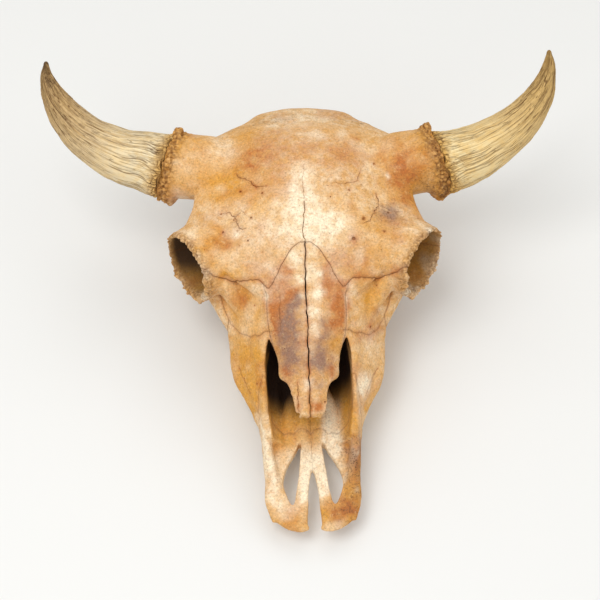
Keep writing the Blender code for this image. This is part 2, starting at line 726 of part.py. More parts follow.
def islands(mesh):
    """The separate closed surfaces of a mesh, as lists of points and faces, largest first."""
    count = len(mesh.vertices)
    points = np.empty(count * 3)
    mesh.vertices.foreach_get("co", points)
    points = points.reshape(-1, 3)
    root = list(range(count))

    def find(i):
        while root[i] != i:
            root[i] = root[root[i]]
            i = root[i]
        return i

    for edge in mesh.edges:
        a, b = (find(i) for i in edge.vertices)
        root[b] = a
    groups = {}
    for face in mesh.polygons:
        groups.setdefault(find(face.vertices[0]), []).append(tuple(face.vertices))
    found = []
    for faces in sorted(groups.values(), key=len, reverse=True):
        used = sorted({i for face in faces for i in face})
        number = {old: new for new, old in enumerate(used)}
        found.append((points[used], [tuple(number[i] for i in face) for face in faces]))
    return found


def piece_around(seed, pieces):
    """The piece that has the seed inside it: of all pieces, the seed is nearest to its surface."""
    nearest = []
    for number, (points, faces) in enumerate(pieces):
        place, normal, _, distance = BVHTree.FromPolygons(points.tolist(), faces).find_nearest(seed)
        if (seed - place).dot(normal) < 0:
            nearest.append((distance, number))
    return pieces[min(nearest)[1]]


def name_bones(skull, bones):
    """Makes an object of each bone, told apart by a point that lies inside it."""
    seeds = {"cranium": (0, 400, 190)}
    for label, side in SIDES.items():
        seeds[f"horn_core_{label}"] = (226 * side, 418, 184)
        seeds[f"nasal_{label}"] = (15 * side, 212, 150)
        seeds[f"lacrimal_{label}"] = (66 * side, 238, 116)
        seeds[f"zygomatic_{label}"] = (112 * side, 278, 97)
        seeds[f"maxilla_{label}"] = (74 * side, 190, 50)
        seeds[f"premaxilla_{label}"] = (30 * side, 17, 27)
    pieces = [piece for piece in islands(skull.data) if len(piece[1]) > SMALLEST_BONE]
    for name, seed in seeds.items():
        points, faces = piece_around(Vector(seed) * MM, pieces)
        mesh_object(name, points / MM, faces, bones)
    bpy.data.objects.remove(skull)


# Teeth

TOOTH_ROW_START = 127.0
TEETH = [
    # length along the jaw, width, outer face from the midline, lobes
    (17, 18, 54.0, 1), (18, 21, 58.0, 1), (18, 23, 61.5, 1),
    (27, 26, 65.0, 2), (31, 28, 67.5, 2), (34, 28, 67.0, 2),
]
ROOT_TOP = 34.0
CROWN_RINGS = [(ROOT_TOP, 0.9), (14.0, 1.0), (2.5, 0.98), (0.0, 0.84)]
CROWN_POINTS = 10


def add_teeth(maxilla, side):
    """Fuses the row of cheek teeth to the upper jaw, lobe by lobe, with worn flat crowns."""
    crowns = collection_named("crowns")
    turn = np.linspace(0, 2 * math.pi, CROWN_POINTS, endpoint=False)
    blunt_x = np.sign(np.cos(turn)) * np.abs(np.cos(turn)) ** 0.65
    blunt_y = np.sign(np.sin(turn)) * np.abs(np.sin(turn)) ** 0.65
    y = TOOTH_ROW_START
    for number, (length, width, outer, lobes) in enumerate(TEETH):
        span = length / lobes
        for lobe in range(lobes):
            rings = []
            for height, scale in CROWN_RINGS:
                across = outer - width / 2 + blunt_x * scale * width / 2
                ahead = y + span * (lobe + 0.5) + blunt_y * scale * (span * 0.49 + 0.3)
                rings.append(np.column_stack([across * side, ahead, np.full(CROWN_POINTS, height)]))
            loft(f"crown_{number}_{lobe}", rings, crowns)
        y += length
    combine(maxilla, crowns, "UNION")
    points, faces = islands(maxilla.data)[0]
    fused = mesh_object("fused", points / MM, faces, maxilla.users_collection[0])
    maxilla.data = fused.data
    bpy.data.objects.remove(fused)


def stand_on_floor(skull):
    """Planes off what would sink below the surface that the skull rests on."""
    cuts = collection_named("floor")
    prism("below", [(-200, -50), (200, -50), (200, 550), (-200, 550)], -60, 0, 1.0, cuts)
    combine(skull, cuts, "DIFFERENCE")


def centre_on_origin(bones):
    """Moves every bone so that the middle of the underside of their bounding box is the origin."""
    points = np.array([point.co for bone in bones.objects for point in bone.data.vertices])
    low, high = points.min(axis=0), points.max(axis=0)
    shift = Matrix.Translation((-(low[0] + high[0]) / 2, -(low[1] + high[1]) / 2, -low[2]))
    for bone in bones.objects:
        bone.data.transform(shift)


def paint(bones):
    """Gives each bone a material of its own."""
    for bone in bones.objects:
        kind = bone.name.replace("_left", "").replace("_right", "")
        finish = bpy.data.materials.new(bone.name)
        finish.use_nodes = True
        surface = finish.node_tree.nodes["Principled BSDF"]
        surface.inputs["Base Color"].default_value = (*BONE[kind], 1.0)
        surface.inputs["Roughness"].default_value = 0.7
        bone.data.materials.append(finish)


def main():
    """Builds the skull, parts it into bones, sets the teeth and stands it on its origin."""
    for thing in list(bpy.data.objects):
        bpy.data.objects.remove(thing)
    bones = collection_named("bison skull")
    work = collection_named("work")
    skull = whole_skull(work)
    stand_on_floor(skull)
    part_along_sutures(skull)
    name_bones(skull, bones)
    bpy.data.collections.remove(work)
    for label, side in SIDES.items():
        add_teeth(bones.objects[f"maxilla_{label}"], side)
    centre_on_origin(bones)
    paint(bones)


main()
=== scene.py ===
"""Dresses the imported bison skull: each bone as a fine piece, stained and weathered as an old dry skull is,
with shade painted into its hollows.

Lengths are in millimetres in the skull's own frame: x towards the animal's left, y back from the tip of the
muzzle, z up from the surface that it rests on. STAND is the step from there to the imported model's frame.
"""

import json
import logging
import math
from collections.abc import Callable
from dataclasses import dataclass, field
from enum import Enum

import bmesh
import bpy
import numpy as np
from bpy.types import Collection, Material, Mesh, Node, NodeSocket, NodeTree, Object
from mathutils import Matrix, Vector
from mathutils.bvhtree import BVHTree

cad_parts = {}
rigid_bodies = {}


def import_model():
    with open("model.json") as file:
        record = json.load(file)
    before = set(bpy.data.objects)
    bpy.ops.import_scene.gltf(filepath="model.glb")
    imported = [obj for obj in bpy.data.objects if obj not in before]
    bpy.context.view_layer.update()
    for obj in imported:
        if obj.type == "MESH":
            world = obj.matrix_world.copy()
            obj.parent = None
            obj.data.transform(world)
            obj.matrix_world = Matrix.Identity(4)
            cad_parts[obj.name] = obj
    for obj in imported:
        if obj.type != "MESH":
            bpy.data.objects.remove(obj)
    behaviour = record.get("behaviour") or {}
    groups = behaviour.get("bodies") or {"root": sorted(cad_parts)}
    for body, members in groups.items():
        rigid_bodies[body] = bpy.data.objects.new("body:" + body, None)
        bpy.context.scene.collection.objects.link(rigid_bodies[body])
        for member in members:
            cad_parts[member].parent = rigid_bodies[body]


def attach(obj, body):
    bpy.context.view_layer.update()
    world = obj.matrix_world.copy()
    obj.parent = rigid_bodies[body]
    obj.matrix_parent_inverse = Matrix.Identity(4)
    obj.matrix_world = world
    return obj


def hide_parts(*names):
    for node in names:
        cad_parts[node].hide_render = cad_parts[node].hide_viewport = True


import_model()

log = logging.getLogger("bison_skull")

Array = np.ndarray
Masks = dict[str, Array]

MM = 0.001
STAND = np.array((3.2, -248.0, 0.0))
BODY = "root"


class Side(Enum):
    """The animal's two sides, with the sign of x on each."""

    RIGHT = -1.0
    LEFT = 1.0

    @property
    def label(self) -> str:
        """The side's name as the nodes have it."""
        return self.name.lower()


class Join(Enum):
    """How a set of rough forms meets a body."""

    ADD = "UNION"
    CUT = "DIFFERENCE"


# Curves and noise


def along(stations: list, places: Array) -> Array:
    """Reads a table of stations at each place.

    Between two rows the value follows the cubic with the rows' own values and mean slopes at its ends.

    Args:
        stations: rows of a place followed by the values there.
        places: where to read the table.

    Returns:
        One row of values per place.
    """
    table = np.array(stations, float)
    at, values = table[:, 0], table[:, 1:]
    slopes = np.gradient(values, at, axis=0)
    places = np.asarray(places, float)
    row = np.clip(np.searchsorted(at, places, side="right") - 1, 0, len(at) - 2)
    width = (at[row + 1] - at[row])[:, None]
    t = (places[:, None] - at[row][:, None]) / width
    return (
        (2 * t**3 - 3 * t**2 + 1) * values[row]
        + (t**3 - 2 * t**2 + t) * width * slopes[row]
        + (3 * t**2 - 2 * t**3) * values[row + 1]
        + (t**3 - t**2) * width * slopes[row + 1]
    )


def spaced(start: float, end: float, step: float) -> Array:
    """Even places from start to end, no further apart than step."""
    return np.linspace(start, end, max(3, int(math.ceil(abs(end - start) / step)) + 1))


def closed_curve(keys: Array, count: int) -> Array:
    """Smooth closed curves through each ring's key points, by the Catmull-Rom cubic.

    Args:
        keys: rings of key points.
        count: points wanted on each ring.

    Returns:
        The rings with count points each.
    """
    keys = np.asarray(keys, float)
    total = keys.shape[1]
    t = np.linspace(0, total, count, endpoint=False)
    i = t.astype(int)
    f = (t - i)[None, :, None]
    p0, p1, p2, p3 = (keys[:, (i + k) % total] for k in (-1, 0, 1, 2))
    return 0.5 * (
        2 * p1 + (p2 - p0) * f + (2 * p0 - 5 * p1 + 4 * p2 - p3) * f**2 + (3 * p1 - p0 - 3 * p2 + p3) * f**3
    )


def held(values: Array) -> Array:
    """Values held between 0 and 1."""
    return np.clip(values, 0, 1)


def ease(t: Array) -> Array:
    """A soft step from 0 to 1: t * t * (3 - 2 * t), held at its ends."""
    t = held(t)
    return t * t * (3 - 2 * t)


def bell(distance: Array, width: float) -> Array:
    """The bell curve exp(-(distance / width) ** 2)."""
    return np.exp(-((distance / width) ** 2))


def turns(count: int) -> Array:
    """Even angles round a full turn."""
    return np.linspace(0, 2 * math.pi, count, endpoint=False)


def lengths(line: Array) -> Array:
    """How far along a bent line each of its points lies."""
    return np.concatenate([[0.0], np.cumsum(np.linalg.norm(np.diff(line, axis=0), axis=1))])


def unit(vectors: Array) -> Array:
    """The same directions with length 1."""
    return vectors / np.linalg.norm(vectors, axis=-1, keepdims=True)


def to_left(points: Array) -> Array:
    """Points mirrored to the side of positive x."""
    return points * np.column_stack([np.sign(points[:, 0]), np.ones(len(points)), np.ones(len(points))])


def hashed(cells: Array, seed: int) -> Array:
    """Even random numbers from 0 to 1 on whole-numbered cells, mixed from the cell and the seed.

    Args:
        cells: numbers of the cells, three to a row.
        seed: picks another set.

    Returns:
        One number for each cell.
    """
    x, y, z = (cells[..., k].astype(np.int64) for k in range(3))
    h = ((x * 73856093) ^ (y * 19349663) ^ (z * 83492791) ^ (seed * 97531)) & 0xFFFFFFFF
    for shift, factor in ((15, 0x2C1B3C6D), (12, 0x297A2D39), (15, 1)):
        h = ((h ^ (h >> shift)) * factor) & 0xFFFFFFFF
    return (h >> 8) / float(0xFFFFFF)


def noise(points: Array, size: float, seed: int, octaves: int = 1) -> Array:
    """Smooth noise from about -1 to 1.

    Each octave blends the random numbers on a grid's eight corners with the soft step, and has half the size
    and half the strength of the one before.

    Args:
        points: where to read it.
        size: the grid's step.
        seed: picks the pattern.
        octaves: how many sizes are added up.

    Returns:
        One value per point.
    """
    total = np.zeros(points.shape[:-1])
    for octave in range(octaves):
        place = points * (2.0**octave / size)
        cell = np.floor(place)
        t = ease(place - cell)
        value = np.zeros(points.shape[:-1])
        for corner in np.ndindex(2, 2, 2):
            weight = np.prod(np.where(corner, t, 1 - t), axis=-1)
            value += weight * hashed(cell + corner, seed + octave)
        total += (value * 2 - 1) * 0.5**octave
    return total


def wander(points: Array, size: float, seed: int, octaves: int = 1) -> Array:
    """A shift of each point by noise of its own in x, y and z."""
    return np.stack([noise(points, size, seed + k, octaves) for k in range(3)], axis=-1)


def pebbles(points: Array, size: float, seed: int) -> tuple[Array, Array]:
    """Rounded knobs, one about each cell's random middle.

    Args:
        points: where to read them.
        size: the knobs' mean spacing.
        seed: picks the pattern.

    Returns:
        A dome of 1 at each middle falling to 0, and the crevices, 1 half way between two knobs.
    """
    place = points / size
    cell = np.floor(place)
    first = np.full(points.shape[:-1], 9.0)
    second = first.copy()
    for corner in np.ndindex(3, 3, 3):
        near = cell + (np.array(corner) - 1)
        middle = near + np.stack([hashed(near, seed + k) for k in range(3)], axis=-1)
        reach = np.linalg.norm(place - middle, axis=-1)
        second = np.minimum(second, np.maximum(first, reach))
        first = np.minimum(first, reach)
    return held(1 - first**2), held(1 - (second - first) / 0.25)


def from_line(points: Array, line: list) -> tuple[Array, Array]:
    """Distance from each point to a bent line, and how far along it, from 0 to 1, the nearest place is.

    Args:
        points: places, one to a row.
        line: the points where the line bends.

    Returns:
        Both, for each point.
    """
    line = np.array(line, float)
    best = np.full(len(points), 1e9)
    share = np.zeros(len(points))
    for i in range(len(line) - 1):
        step = line[i + 1] - line[i]
        t = held((points - line[i]) @ step / (step @ step))
        reach = np.linalg.norm(points - line[i] - t[:, None] * step, axis=1)
        nearer = reach < best
        best = np.where(nearer, reach, best)
        share = np.where(nearer, (i + t) / (len(line) - 1), share)
    return best, share


def frame_of(direction: tuple) -> tuple[Array, Array, Array]:
    """Two directions that make a frame with direction: one level, one rising.

    Args:
        direction: the way ahead.

    Returns:
        The ways ahead, level and rising, each of length 1.
    """
    ahead = unit(np.array(direction, float))
    level = unit(np.cross((0.0, 0.0, 1.0), ahead))
    return ahead, level, np.cross(ahead, level)


# Meshes


def new_object(name: str, data: bpy.types.ID, home: Collection) -> Object:
    """A new object for a mesh, light or camera, in a collection.

    Args:
        name: its name.
        data: the mesh, light or camera.
        home: its collection.

    Returns:
        The object.
    """
    thing = bpy.data.objects.new(name, data)
    home.objects.link(thing)
    return thing


def mesh_object(name: str, points: Array, faces: list, home: Collection) -> Object:
    """A closed mesh in metres with its faces turned outwards.

    Args:
        name: its name.
        points: places in millimetres, one to a row.
        faces: the numbers of each face's points.
        home: its collection.

    Returns:
        The mesh's object.
    """
    mesh = bpy.data.meshes.new(name)
    mesh.from_pydata((np.asarray(points) * MM).tolist(), [], faces)
    work = bmesh.new()
    work.from_mesh(mesh)
    bmesh.ops.recalc_face_normals(work, faces=work.faces)
    work.to_mesh(mesh)
    work.free()
    return new_object(name, mesh, home)


def tube_faces(count: int, around: int) -> list:
    """Faces of a skin over count rings of around points, with its two ends closed.

    Args:
        count: number of rings.
        around: points in a ring.

    Returns:
        The numbers of each face's points.
    """
    i, j = np.meshgrid(np.arange(count - 1), np.arange(around), indexing="ij")
    a, b = i * around + j, i * around + (j + 1) % around
    quads = np.stack([a, b, b + around, a + around], axis=-1).reshape(-1, 4)
    ends = [list(range(around)), [(count - 1) * around + k for k in range(around)]]
    return quads.tolist() + ends


def read_points(mesh: Mesh) -> Array:
    """A mesh's points in millimetres.

    Args:
        mesh: the mesh.

    Returns:
        One row for each point.
    """
    flat = np.empty(len(mesh.vertices) * 3)
    mesh.vertices.foreach_get("co", flat)
    return flat.reshape(-1, 3) / MM


def write_points(mesh: Mesh, points: Array) -> None:
    """Puts points in millimetres back into a mesh."""
    mesh.vertices.foreach_set("co", (points * MM).ravel())
    mesh.update()


def read_normals(mesh: Mesh) -> Array:
    """The direction outwards at each of a mesh's points.

    Args:
        mesh: the mesh.

    Returns:
        One row of length 1 for each point.
    """
    flat = np.empty(len(mesh.vertices) * 3)
    mesh.vertex_normals.foreach_get("vector", flat)
    return flat.reshape(-1, 3)


def new_collection(name: str) -> Collection:
    """A new collection in the scene.

    Args:
        name: its name.

    Returns:
        The collection.
    """
    made = bpy.data.collections.new(name)
    bpy.context.scene.collection.children.link(made)
    return made


def apply_modifiers(thing: Object) -> None:
    """Replaces an object's mesh with what its modifiers make of it.

    Args:
        thing: the object.
    """
    graph = bpy.context.evaluated_depsgraph_get()
    made = bpy.data.meshes.new_from_object(thing.evaluated_get(graph))
    thing.modifiers.clear()
    thing.data = made


def combine(thing: Object, forms: Collection, how: Join) -> None:
    """Joins a collection of closed meshes to a body, or cuts them from it, and removes them.

    Args:
        thing: the body.
        forms: the closed meshes.
        how: joined or cut.
    """
    change = thing.modifiers.new(how.name, "BOOLEAN")
    change.operation = how.value
    change.operand_type = "COLLECTION"
    change.collection = forms
    change.solver = "MANIFOLD"
    apply_modifiers(thing)
    for form in list(forms.objects):
        bpy.data.objects.remove(form)
    bpy.data.collections.remove(forms)


@dataclass(frozen=True)
class KnobRing:
    """A ring of bony knobs."""

    centre: tuple
    facing: tuple
    radius: float
    knob: float
    count: int
    seed: int
    oval: float = 1.0


@dataclass
class Clay:
    """Makes rough closed forms, each a profile carried along a path, in one collection."""

    home: Collection
    step: float = 3.0
    ring_points: int = 96
    bar_points: int = 32
    ball_rings: int = 14
    ball_points: int = 24

    def sections(self, name: str, stations: list, outline: Callable[..., list]) -> Object:
        """A body along y, the same on both sides of the midline.

        Args:
            name: the form's name.
            stations: rows of y and the sizes of the section there.
            outline: turns one row of sizes into the section's half, from underside to top.

        Returns:
            The body, whose rings are smooth curves through the section's points.
        """
        places = spaced(stations[0][0], stations[-1][0], self.step)
        halves = np.array([outline(*row) for row in along(stations, places)], float)
        whole = np.concatenate([halves, halves[:, -2:0:-1] * (-1.0, 1.0)], axis=1)
        flat = closed_curve(whole, self.ring_points)
        y = np.broadcast_to(places[:, None, None], (*flat.shape[:2], 1))
        rings = np.concatenate([flat[:, :, :1], y, flat[:, :, 1:]], axis=2)
        return self.skin(name, rings)

    def skin(self, name: str, rings: Array) -> Object:
        """A closed skin over rings of points."""
        rings = np.asarray(rings, float)
        return mesh_object(name, rings.reshape(-1, 3), tube_faces(*rings.shape[:2]), self.home)

    def bar(
        self, name: str, route: list, side: float, upright: tuple = (0.0, 0.0, 1.0), rounding: float = 0.55
    ) -> Object:
        """A bar of oval section with round ends.

        A ring's point is the route's point + cos(turn) * half width across + sin(turn) * half height up.

        Args:
            name: the form's name.
            route: rows of a point, the half width across and the half height towards upright.
            side: the sign of x.
            upright: the way up, not along the route.
            rounding: how far the round ends reach, in half widths.

        Returns:
            The bar.
        """
        route = np.array(route, float)
        at = lengths(route[:, :3])
        places = spaced(0.0, at[-1], self.step)
        row = along(np.column_stack([at, route]), places)
        centre, wide, high = row[:, :3] * (side, 1.0, 1.0), row[:, 3], row[:, 4]
        ahead = unit(np.gradient(centre, places, axis=0))
        across = unit(np.cross(ahead, upright))
        up = np.cross(across, ahead)
        stops = [(0, -rounding * 0.9, 0.35), (0, -rounding * 0.5, 0.75)]
        stops += [(i, 0.0, 1.0) for i in range(len(places))]
        stops += [(len(places) - 1, rounding * 0.5, 0.75), (len(places) - 1, rounding * 0.9, 0.35)]
        i, shift, shrink = np.array(stops).T
        i = i.astype(int)
        middle = centre[i] + ahead[i] * (shift * np.minimum(wide, high)[i])[:, None]
        turn = turns(self.bar_points)[None, :, None]
        spread = np.cos(turn) * (across[i] * wide[i, None])[:, None]
        spread = spread + np.sin(turn) * (up[i] * high[i, None])[:, None]
        return self.skin(name, middle[:, None] + shrink[:, None, None] * spread)

    def ball(self, name: str, centre: tuple, radii: tuple, tilt: tuple = (0.0, 0.0, 0.0)) -> Object:
        """A ball stretched to three radii and turned by tilt, in degrees about x, y and z.

        Args:
            name: its name.
            centre: its middle.
            radii: half its length, width and height.
            tilt: the three turns.

        Returns:
            The ball.
        """
        falls = np.linspace(0.06, math.pi - 0.06, self.ball_rings)
        fall, around = np.meshgrid(falls, turns(self.ball_points), indexing="ij")
        wide = np.sin(fall)
        points = np.dstack([wide * np.cos(around), wide * np.sin(around), np.cos(fall)]) * radii
        turn = Matrix.Identity(3)
        for angle, axis in zip(tilt, "XYZ"):
            turn = Matrix.Rotation(math.radians(angle), 3, axis) @ turn
        return self.skin(name, points @ np.array(turn).T + centre)

    def turned(
        self, name: str, centre: tuple, direction: tuple, profile: list, side: float, oval: float
    ) -> Object:
        """A turned form from rows of (distance along direction, radius), stretched across by oval.

        Args:
            name: its name.
            centre: where the distance is 0.
            direction: its axis.
            profile: the rows.
            side: 1 for the animal's left, -1 for its right.
            oval: how many times wider than high it is.

        Returns:
            The form.
        """
        ahead, level, rise = frame_of(direction)
        turn = turns(self.ring_points)[None, :, None]
        reach, radius = (np.array(column)[:, None, None] for column in zip(*profile))
        spread = oval * np.cos(turn) * level + np.sin(turn) * rise
        rings = np.array(centre) + ahead * reach + radius * spread
        return self.skin(name, rings * (side, 1.0, 1.0))

    def knobs(self, name: str, ring: KnobRing, side: float) -> None:
        """Bony knobs set close around a ring, of seeded size and place.

        Args:
            name: their name.
            ring: where they sit, and how large they are.
            side: 1 for the animal's left, -1 for its right.
        """
        ahead, level, rise = frame_of(ring.facing)
        draw = np.random.default_rng(ring.seed)
        for i in range(ring.count):
            angle = 2 * math.pi * (i + draw.uniform(-0.25, 0.25)) / ring.count
            size = ring.knob * draw.uniform(0.5, 1.3)
            reach = ring.radius + draw.uniform(-0.45, 0.2) * ring.knob
            place = np.array(ring.centre) + ahead * draw.uniform(-1.0, 0.9) * ring.knob
            place = place + reach * (ring.oval * math.cos(angle) * level + math.sin(angle) * rise)
            radii = tuple(size * draw.uniform(0.8, 1.4, 3))
            self.ball(f"{name}_{i}", place * (side, 1.0, 1.0), radii)

    def prism(self, name: str, plan: list, low: float, high: float, side: float) -> Object:
        """A plan shape in x and y, smoothed through its points and carried from one height to another."""
        edge = closed_curve([plan], 6 * len(plan))[0] * (side, 1.0)
        return self.skin(name, [np.column_stack([edge, np.full(len(edge), z)]) for z in (low, high)])


# The skull's forms


@dataclass
class Snout:
    """The face before the eyes: upper jaws, nasal cavity and nasal roof."""

    face: tuple = (
        # y, then half width and height of tooth edge, facial crest, cheek and brow, then the top
        (96, 49, 26, 55, 43, 53, 62, 48, 70, 72), (122, 54, 22, 60, 42, 57, 72, 49.5, 83, 85),
        (145, 60, 20, 71, 50, 61, 85, 50.5, 97, 99), (178, 66, 19, 87, 60, 64, 98, 50, 114, 124),
        (210, 70, 19, 90, 68, 67, 112, 48, 132, 146), (240, 72, 19, 94, 82, 70, 130, 47, 151, 162),
        (262, 70, 20, 95, 90, 78, 142, 50, 164, 173), (284, 63, 30, 86, 92, 84, 148, 56, 171, 183),
        (300, 46, 60, 66, 98, 74, 146, 50, 172, 188), (312, 38, 80, 50, 105, 60, 145, 45, 172, 188),
    )
    cavity: tuple = (
        # y, half width at the floor, floor height, half width above, roof height
        (40, 30, 42, 40, 230), (84, 32, 43, 43, 230), (120, 34, 42, 46, 230), (150, 36, 42, 47.5, 230),
        (180, 36, 43, 47, 230), (199, 36, 44, 44, 230), (214, 36, 45, 43, 230),
    )
    deep: tuple = (
        (208, 34, 46, 42, 132), (240, 32, 50, 44, 148), (270, 28, 58, 40, 160), (296, 18, 74, 26, 150),
    )
    roof: tuple = (
        # y, half width, height in the middle, drop at the edge
        (103, 13, 106, 2), (112, 17, 111, 4), (124, 19, 117, 6), (136, 22, 122.5, 9), (143, 26, 125.5, 12),
        (148, 32, 128, 17), (162, 34, 133.5, 20), (178, 36.5, 140, 22), (190, 41, 145, 22),
        (202, 47, 150, 22), (212, 48, 154, 20), (240, 46, 165, 14), (262, 46, 175, 11), (288, 42, 183, 10),
    )
    thickness: float = 6.5
    bites: tuple = (
        (-8.5, 101.5, 3.4), (-1.0, 100.5, 2.8), (7.5, 101.0, 3.2), (13.5, 104.0, 2.6), (-13.5, 106.0, 2.6),
    )

    @staticmethod
    def face_outline(*sizes: float) -> list:
        """Half section of the snout: vaulted palate, tooth edge, facial crest, cheek, brow and crown.

        Args:
            sizes: half width and height of the tooth edge, crest, cheek and brow in turn,
                then the height of the crown.

        Returns:
            Its points (x, z), from the midline below to the midline above.
        """
        low, low_z, mid, mid_z, high, high_z, edge, edge_z, top = sizes
        return [
            (0, low_z + 9), (low * 0.52, low_z + 8), (low * 0.93, low_z), (low + 3, low_z + 8), (mid, mid_z),
            ((mid + high) / 2 + 2, (mid_z + high_z) / 2), (high, high_z), (edge, edge_z),
            (edge * 0.5, top - (top - edge_z) * 0.25), (0, top),
        ]

    @staticmethod
    def cavity_outline(floor: float, floor_z: float, side: float, roof: float) -> list:
        """Half section of the nasal cavity, narrower at its floor.

        Args:
            floor: half width of its floor.
            floor_z: the floor's height.
            side: half width higher up.
            roof: the roof's height.

        Returns:
            Its points (x, z), from the midline below to the midline above.
        """
        return [
            (0, floor_z), (floor * 0.7, floor_z + 1), (floor, floor_z + 9), (side, floor_z + 30),
            (side, (floor_z + 30 + roof) / 2), (side * 0.92, roof - 4), (side * 0.5, roof), (0, roof),
        ]

    def roof_outline(self, half: float, top: float, drop: float) -> list:
        """Half section of the nasal bones: a low crown beside the midline, on a plate of even thickness.

        Args:
            half: half width of the two bones.
            top: height at the midline.
            drop: how far below that the edges lie.

        Returns:
            Its points (x, z), from the midline below to the midline above.
        """
        thick = self.thickness
        return [
            (0, top - thick - 1.0), (half * 0.5, top - drop * 0.25 - thick),
            (half * 0.8, top - drop * 0.7 - thick), (half * 0.96, top - drop - thick * 0.9),
            (half, top - drop), (half * 0.88, top - drop * 0.7), (half * 0.62, top - drop * 0.3),
            (half * 0.3, top), (0, top - 1.2),
        ]

    def body(self, clay: Clay) -> Object:
        """The solid snout."""
        return clay.sections("skull", self.face, self.face_outline)

    def cavities(self, clay: Clay) -> None:
        """The nasal cavity, open above, and its deep part under the forehead."""
        clay.sections("nasal_cavity", self.cavity, self.cavity_outline)
        clay.sections("deep_cavity", self.deep, self.cavity_outline)

    def roof_plate(self, clay: Clay) -> None:
        """The two nasal bones as one plate."""
        clay.sections("nasal_roof", self.roof, self.roof_outline)

    def shelves(self, clay: Clay) -> None:
        """The plates that rise from the nasal floor to under the nasals.

        Args:
            clay: makes and keeps the forms.
        """
        for side in Side:
            clay.bar("shelf", [
                (23, 96, 38, 10, 6), (25, 116, 44, 9.5, 8), (24, 134, 48, 8.5, 9), (20, 152, 50, 7.5, 9),
                (15, 172, 50, 6, 9),
            ], side.value)

    def notches(self, clay: Clay) -> None:
        """Small bites out of the nasals' tips."""
        for x, y, radius in self.bites:
            clay.ball("bite", (x, y, 104), (radius, radius, 14))

    def side_wall(self, points: Array) -> Array:
        """Half width of the nasal cavity's upper part at the depth of each point."""
        return np.interp(points[:, 1], [row[0] for row in self.cavity], [row[3] for row in self.cavity])

    def under_roof(self, points: Array) -> Array:
        """How far points lie below the nasal roof's top, which keeps its edge height beyond its edges.

        Args:
            points: places, one to a row.

        Returns:
            One value for each point.
        """
        half, top, drop = along(self.roof, np.clip(points[:, 1], self.roof[0][0], self.roof[-1][0])).T
        share = np.abs(points[:, 0]) / half
        fall = np.interp(share, [0.0, 0.3, 0.62, 0.88, 1.0], [0.0, 0.0, 0.3, 0.7, 1.0])
        return top - drop * fall - points[:, 2]


